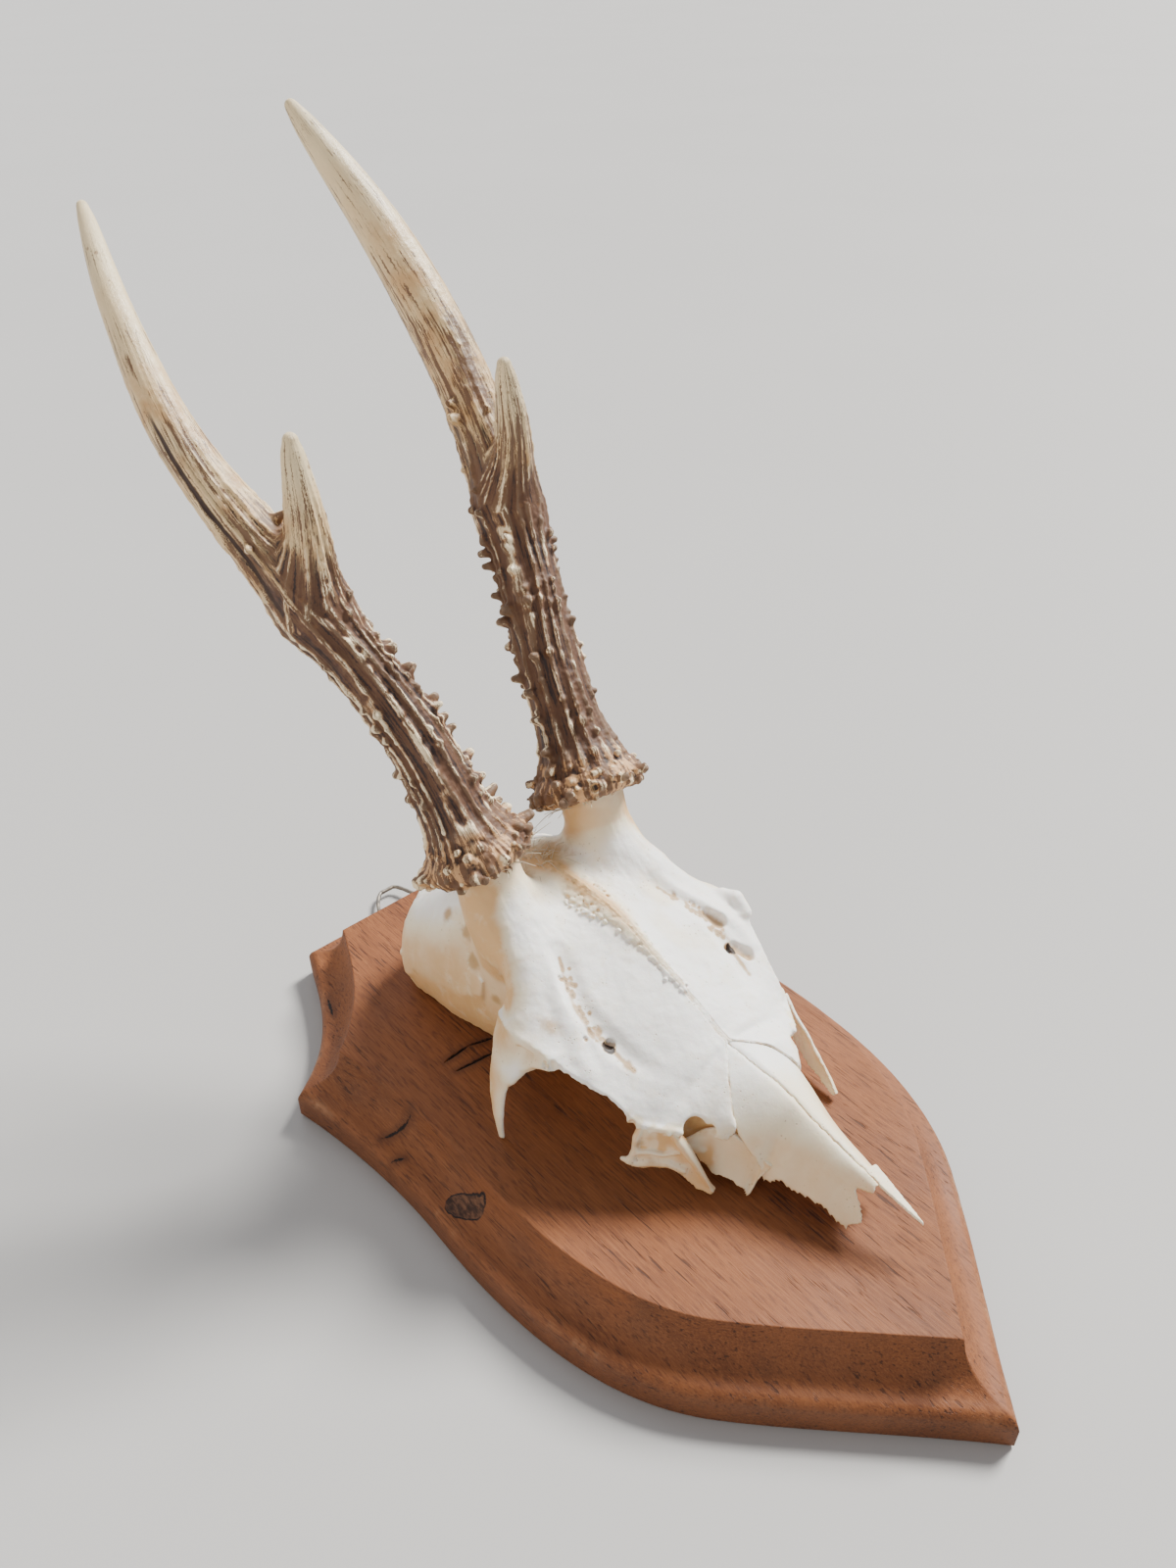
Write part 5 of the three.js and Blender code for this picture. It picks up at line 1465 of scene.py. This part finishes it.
def crack_depth(x, y):
    """How deep the cracks are at a place on the plaque's face."""
    depth = 0.0 * x
    for start, end, deepest in CRACKS:
        start, end = np.array(start), np.array(end)
        along = end - start
        length = np.hypot(*along)
        share = ((x - start[0]) * along[0] + (y - start[1]) * along[1]) / length**2
        inside = np.clip(share, 0, 1)
        off = ((y - start[1]) * along[0] - (x - start[0]) * along[1]) / length
        away = np.hypot(off, (share - inside) * length)
        width = 0.5 * np.sqrt(np.clip(1 - (2 * inside - 1) ** 2, 0.02, 1))
        depth = np.maximum(depth, deepest * np.clip(1 - away / width, 0, 1))
    return depth


wood_noise = Noise(5)
CORNER_TOLERANCE = 1e-6
FACE_INSET = 14.0


def board_shade_and_wear(points):
    """How much painted shade the plaque gets on its lower sides and in its cove, and how worn it is, at
    points with their x, y, height and inset.
    """
    x, y, level, inset = points.T
    arris = bell(level - BOARD_THICKNESS + 0.2, 0.9) * smoothstep(-inset, -0.9, -0.1)
    patchy = smoothstep(wood_noise(x / 9, y / 9, 2.5) + 0.5 * wood_noise(x / 2, y / 2, 7.5), -0.1, 0.7)
    worn = 0.9 * arris * patchy
    rim = bell(inset, 1.4) * smoothstep(level, EDGE_HEIGHT - 3.5, EDGE_HEIGHT - 1)
    worn = np.maximum(worn, 0.45 * rim * patchy)
    # Painted shade on the lower sides of the edge and in the cove.
    cove = smoothstep(inset, 3, 7) * smoothstep(12.2 - inset, 0, 0.4)
    shaded = 0.36 * (level < EDGE_HEIGHT - 2) + 0.27 * cove * (0.7 + 0.6 * wood_noise(x / 7, y / 7, 1.5))
    return shaded, worn


def moulding_rings():
    """Rings of points up the plaque's moulded edge, each point with its x, y, height and inset."""
    middle = np.array([0, 10.0])
    rings = []
    for inset, height in MOULDING:
        ring = board_outline(inset, *OUTLINE_COUNTS)
        x, y = ring.T
        uneven = 0.16 * wood_noise(x / 14, y / 14, 0.5) + 0.07 * wood_noise(x / 3, y / 3, 6.5)
        inward = uneven * smoothstep(height, 0.3, 6) * 0.9
        ring = ring + unit(middle - ring) * (np.abs(inward) + 0.02)[:, None]
        lift = height - (height >= 1) * np.abs(uneven) * 0.6
        rings.append(np.column_stack([ring, np.broadcast_to(lift, x.shape), np.full(len(x), inset)]))
    return rings


def face_spots():
    """Places spread over the plaque's face, closer together along its cracks."""
    gx, gy = np.meshgrid(np.arange(-64, 64.1, FACE_SPACING), np.arange(TIP_Y + 10, TOP_Y - 10, FACE_SPACING))
    loose = np.stack([gx.ravel(), gy.ravel()], axis=1)
    loose = loose + random.uniform(-0.3, 0.3, loose.shape)
    for start, end, _ in (CRACKS):
        along = np.array(end) - start
        length = np.hypot(*along)
        across = np.array([-along[1], along[0]]) / length
        for share in np.linspace(-0.05, 1.05, int(length / 0.45)):
            offsets = np.arange(-0.6, 0.61, 0.2)[:, None]
            loose = np.vstack([loose, np.array(start) + share * along + offsets * across])
    return loose[inside_outline(loose, board_outline(MOULDING_WIDTH + 1.4, 60, 14, 16))]


def shield_board():
    """The plaque: rings up its moulded edge, a face with cracks in it, and a flat back."""
    rings = moulding_rings()
    count = len(rings[0])
    points = np.vstack(rings)
    turn = np.arange(count)
    after = (turn + 1) % count
    quads = np.vstack([np.stack([low + turn, low + after, low + count + after, low + count + turn], axis=1)
                       for low in range(0, len(points) - count, count)])

    # The face starts from the top ring, whose points keep their numbers; its own points follow.
    corners = [Vector(p) for p in np.vstack([rings[-1][:, :2], face_spots()])]
    edges = [(i, (i + 1) % count) for i in range(count)]
    found = delaunay_2d_cdt(corners, edges, [], 1, CORNER_TOLERANCE)
    spots = np.array([tuple(v) for v in found[0]])
    origin = np.array([o[0] if len(o) else -1 for o in found[3]])
    on_ring = (origin >= 0) & (origin < count)
    numbers = np.where(on_ring, len(points) - count + origin, 0)
    numbers[~on_ring] = len(points) + np.arange((~on_ring).sum())
    x, y = spots[~on_ring].T
    sag = 0.1 * np.abs(wood_noise(x / 22, y / 30, 9.5)) + 0.03 * np.abs(wood_noise(x / 1.8, y / 9, 3.5))
    face = np.column_stack([x, y, BOARD_THICKNESS - sag - crack_depth(x, y), np.full(len(x), FACE_INSET)])
    points = np.vstack([points, face])

    back = delaunay_2d_cdt([Vector(p) for p in rings[0][:, :2]], edges, [], 1, CORNER_TOLERANCE)
    back_origin = np.array([o[0] for o in back[3]])
    back_faces = back_origin[np.array(back[2])][:, ::-1]
    triangles = np.vstack([numbers[np.array(found[2])], back_faces])
    points[:count, 2] = 0
    dark, worn = board_shade_and_wear(points)
    make_piece("plaque", points[:, :3], [quads, triangles], wood_material(), "plaque_wood", ["shield_board"],
               dark=dark, worn=worn)


def inside_outline(spots, outline):
    """Which spots lie inside a closed outline."""
    inside = np.zeros(len(spots), bool)
    x, y = spots.T
    for (x0, y0), (x1, y1) in zip(outline, np.roll(outline, -1, axis=0)):
        crosses = (y0 > y) != (y1 > y)
        if crosses.any():
            inside ^= crosses & (x < x0 + (y - y0) / (y1 - y0 if y1 != y0 else 1) * (x1 - x0))
    return inside


# ---------------------------------------------------------------- wire and hairs
def tube(centres, radii, sides):
    """Points and faces of a tube with closed ends through a line of centres."""
    centres = np.asarray(centres, float)
    tangents = unit(np.gradient(centres, axis=0))
    square = np.cross(tangents[0], (0.3, 0.2, 1.0))
    points = []
    for centre, tangent, radius in zip(centres, tangents, radii):
        square = square - tangent * square.dot(tangent)
        square /= np.linalg.norm(square)
        other = np.cross(tangent, square)
        for turn in np.arange(sides) * 2 * math.pi / sides:
            points.append(centre + radius * (math.cos(turn) * square + math.sin(turn) * other))
    last = len(centres) - 1
    quads = [(r * sides + i, r * sides + (i + 1) % sides, (r + 1) * sides + (i + 1) % sides,
              (r + 1) * sides + i) for r in range(last) for i in range(sides)]
    points += [centres[0], centres[-1]]
    start, end = len(points) - 2, len(points) - 1
    triangles = [(start, (i + 1) % sides, i) for i in range(sides)]
    triangles += [(end, last * sides + i, last * sides + (i + 1) % sides) for i in range(sides)]
    return np.array(points), np.array(quads), np.array(triangles)


def hanger_wire():
    """The bent steel loop at the plaque's top edge."""
    edge = BOARD_LENGTH / 2 + 0.35
    corners = [(-9, 0), (-6.6, 9), (-1.2, 15.6), (4, 15.4), (7, 8.4), (9, 0)]
    path = Curve([(x, edge + reach, WIRE_HEIGHT) for x, reach in corners], 0.4)
    centres = path.points.copy()
    share = path.distances / path.length
    centres[:, 2] += 0.12 * np.sin(9 * share)
    radius = WIRE_DIAMETER / 2 - 0.06 + 0.04 * np.sin(share * 70)
    centres[:, 1] = np.minimum(centres[:, 1], edge + 15.6)
    points, *faces = tube(centres, radius, 14)
    make_piece("hanger_loop", points, faces, wire_material(), "hanger_steel", ["hanger_wire"])


def hairs(antlers):
    """A few stiff hairs caught between the burrs and behind them."""
    draw = np.random.default_rng(77)
    all_points, all_quads, all_triangles, count = [], [], [], 0
    for number in range(HAIRS):
        if number < BURR_HAIRS:
            side = draw.choice([LEFT, RIGHT], p=[0.35, 0.65])
            antler = antlers[side]
            spot = antler.curve.points[0] - antler.curve.tangents[3] * 5.5
            out = antler.curve.outward(1, draw.uniform(-0.4, 2.6) * -side)
            root = spot + out * draw.uniform(8.6, 9.6)
            lean = out * draw.uniform(3, 9)
            lean = lean + np.array([draw.normal(0, 2), draw.normal(0, 2), draw.uniform(-2, 5)])
        else:
            across, along = draw.normal(-1, 3.6), draw.uniform(15, 27)
            height = float(frontal_height(np.float64(across), np.float64(min(along, 23.0))))
            root = np.array([across, along, height - 0.6])
            lean = np.array([draw.normal(-1, 4), draw.normal(-1, 4), draw.uniform(1, 7)])
        middle = root + lean * 0.5 + np.array([0, 0, draw.uniform(0.5, 2)])
        path = Curve([root, middle, root + lean], 0.6)
        radius = np.linspace(0.17, 0.07, len(path.points))
        points, quads, triangles = tube(path.points, radius, 6)
        all_points.append(points)
        all_quads.append(quads + count)
        all_triangles.append(triangles + count)
        count += len(points)
    faces = [np.vstack(all_quads), np.vstack(all_triangles)]
    make_piece("stray_hairs", on_plaque(np.vstack(all_points)), faces, hair_material(), "bone", [])


# ---------------------------------------------------------------- floor, light and camera
FLOOR_HALF_SIZE = 20.0

# Each lamp's name, place, width in radians, strength and colour.
LIGHTS = [("window", (1.05, 0.06, 1.1), 0.32, 8.9, (1.0, 0.985, 0.955)),
          ("bounce", (-1.1, 0.1, 0.25), 1.1, 1.45, (1.0, 0.82, 0.64)),
          ("back", (0.3, 1.5, 1.0), 0.8, 0.75, (0.88, 0.94, 1.0))]


def studio():
    """A pale floor and three lamps: a window on the right, its bounce from the left, and one behind."""
    mesh = bpy.data.meshes.new("studio_floor")
    corners = [(x * FLOOR_HALF_SIZE, y * FLOOR_HALF_SIZE, 0) for x, y in ((-1, -1), (1, -1), (1, 1), (-1, 1))]
    mesh.from_pydata(corners, [], [(0, 1, 2, 3)])
    floor = bpy.data.objects.new("studio_floor", mesh)
    floor.location.z = -0.0002
    bpy.context.scene.collection.objects.link(floor)
    n = Nodes("studio_floor")
    tone = n.noise(n.place(), 3, 3)
    mesh.materials.append(n.finish(n.blend(tone, (0.41, 0.4, 0.385), (0.44, 0.43, 0.415)), 0.7))

    target = Vector((0, 0.03, 0.08))
    for name, place, width, power, color in LIGHTS:
        lamp = bpy.data.lights.new(name, "SUN")
        lamp.angle = width
        lamp.energy = power
        lamp.color = color
        light = bpy.data.objects.new(name, lamp)
        light.location = place
        light.rotation_euler = (target - Vector(place)).to_track_quat("-Z", "Y").to_euler()
        bpy.context.scene.collection.objects.link(light)

    world = bpy.data.worlds.new("studio")
    world.use_nodes = True
    background = world.node_tree.nodes["Background"]
    background.inputs["Color"].default_value = (0.9, 0.93, 1.0, 1.0)
    background.inputs["Strength"].default_value = 0.55
    bpy.context.scene.world = world


def camera():
    """The photograph's camera, as solved from the plaque's outline and the skull."""
    heading, pitch, roll = CAMERA_HEADING, CAMERA_PITCH, CAMERA_ROLL
    forward = Vector((math.sin(heading) * math.cos(pitch), math.cos(heading) * math.cos(pitch),
                      -math.sin(pitch)))
    level = Vector((math.cos(heading), -math.sin(heading), 0))
    upward = level.cross(forward)
    right = level * math.cos(roll) - upward * math.sin(roll)
    top = upward * math.cos(roll) + level * math.sin(roll)
    lens = bpy.data.cameras.new("camera")
    lens.lens = CAMERA_LENS
    lens.sensor_width = 36
    lens.clip_start = 0.01
    view = bpy.data.objects.new("camera", lens)
    columns = (right, top, -forward, Vector(CAMERA_PLACE) * MM)
    view.matrix_world = Matrix([[column[i] for column in columns] for i in range(3)] + [[0, 0, 0, 1]])
    bpy.context.scene.collection.objects.link(view)
    bpy.context.scene.camera = view


# ---------------------------------------------------------------- the whole model
BONE = bone_material()
ANTLER = antler_material()

camera()
studio()
shield_board()
hanger_wire()
skull_pieces(ANTLERS)
nasal_pieces()
flakes()
for antler in ANTLERS.values():
    antler_piece(antler)
hairs(ANTLERS)
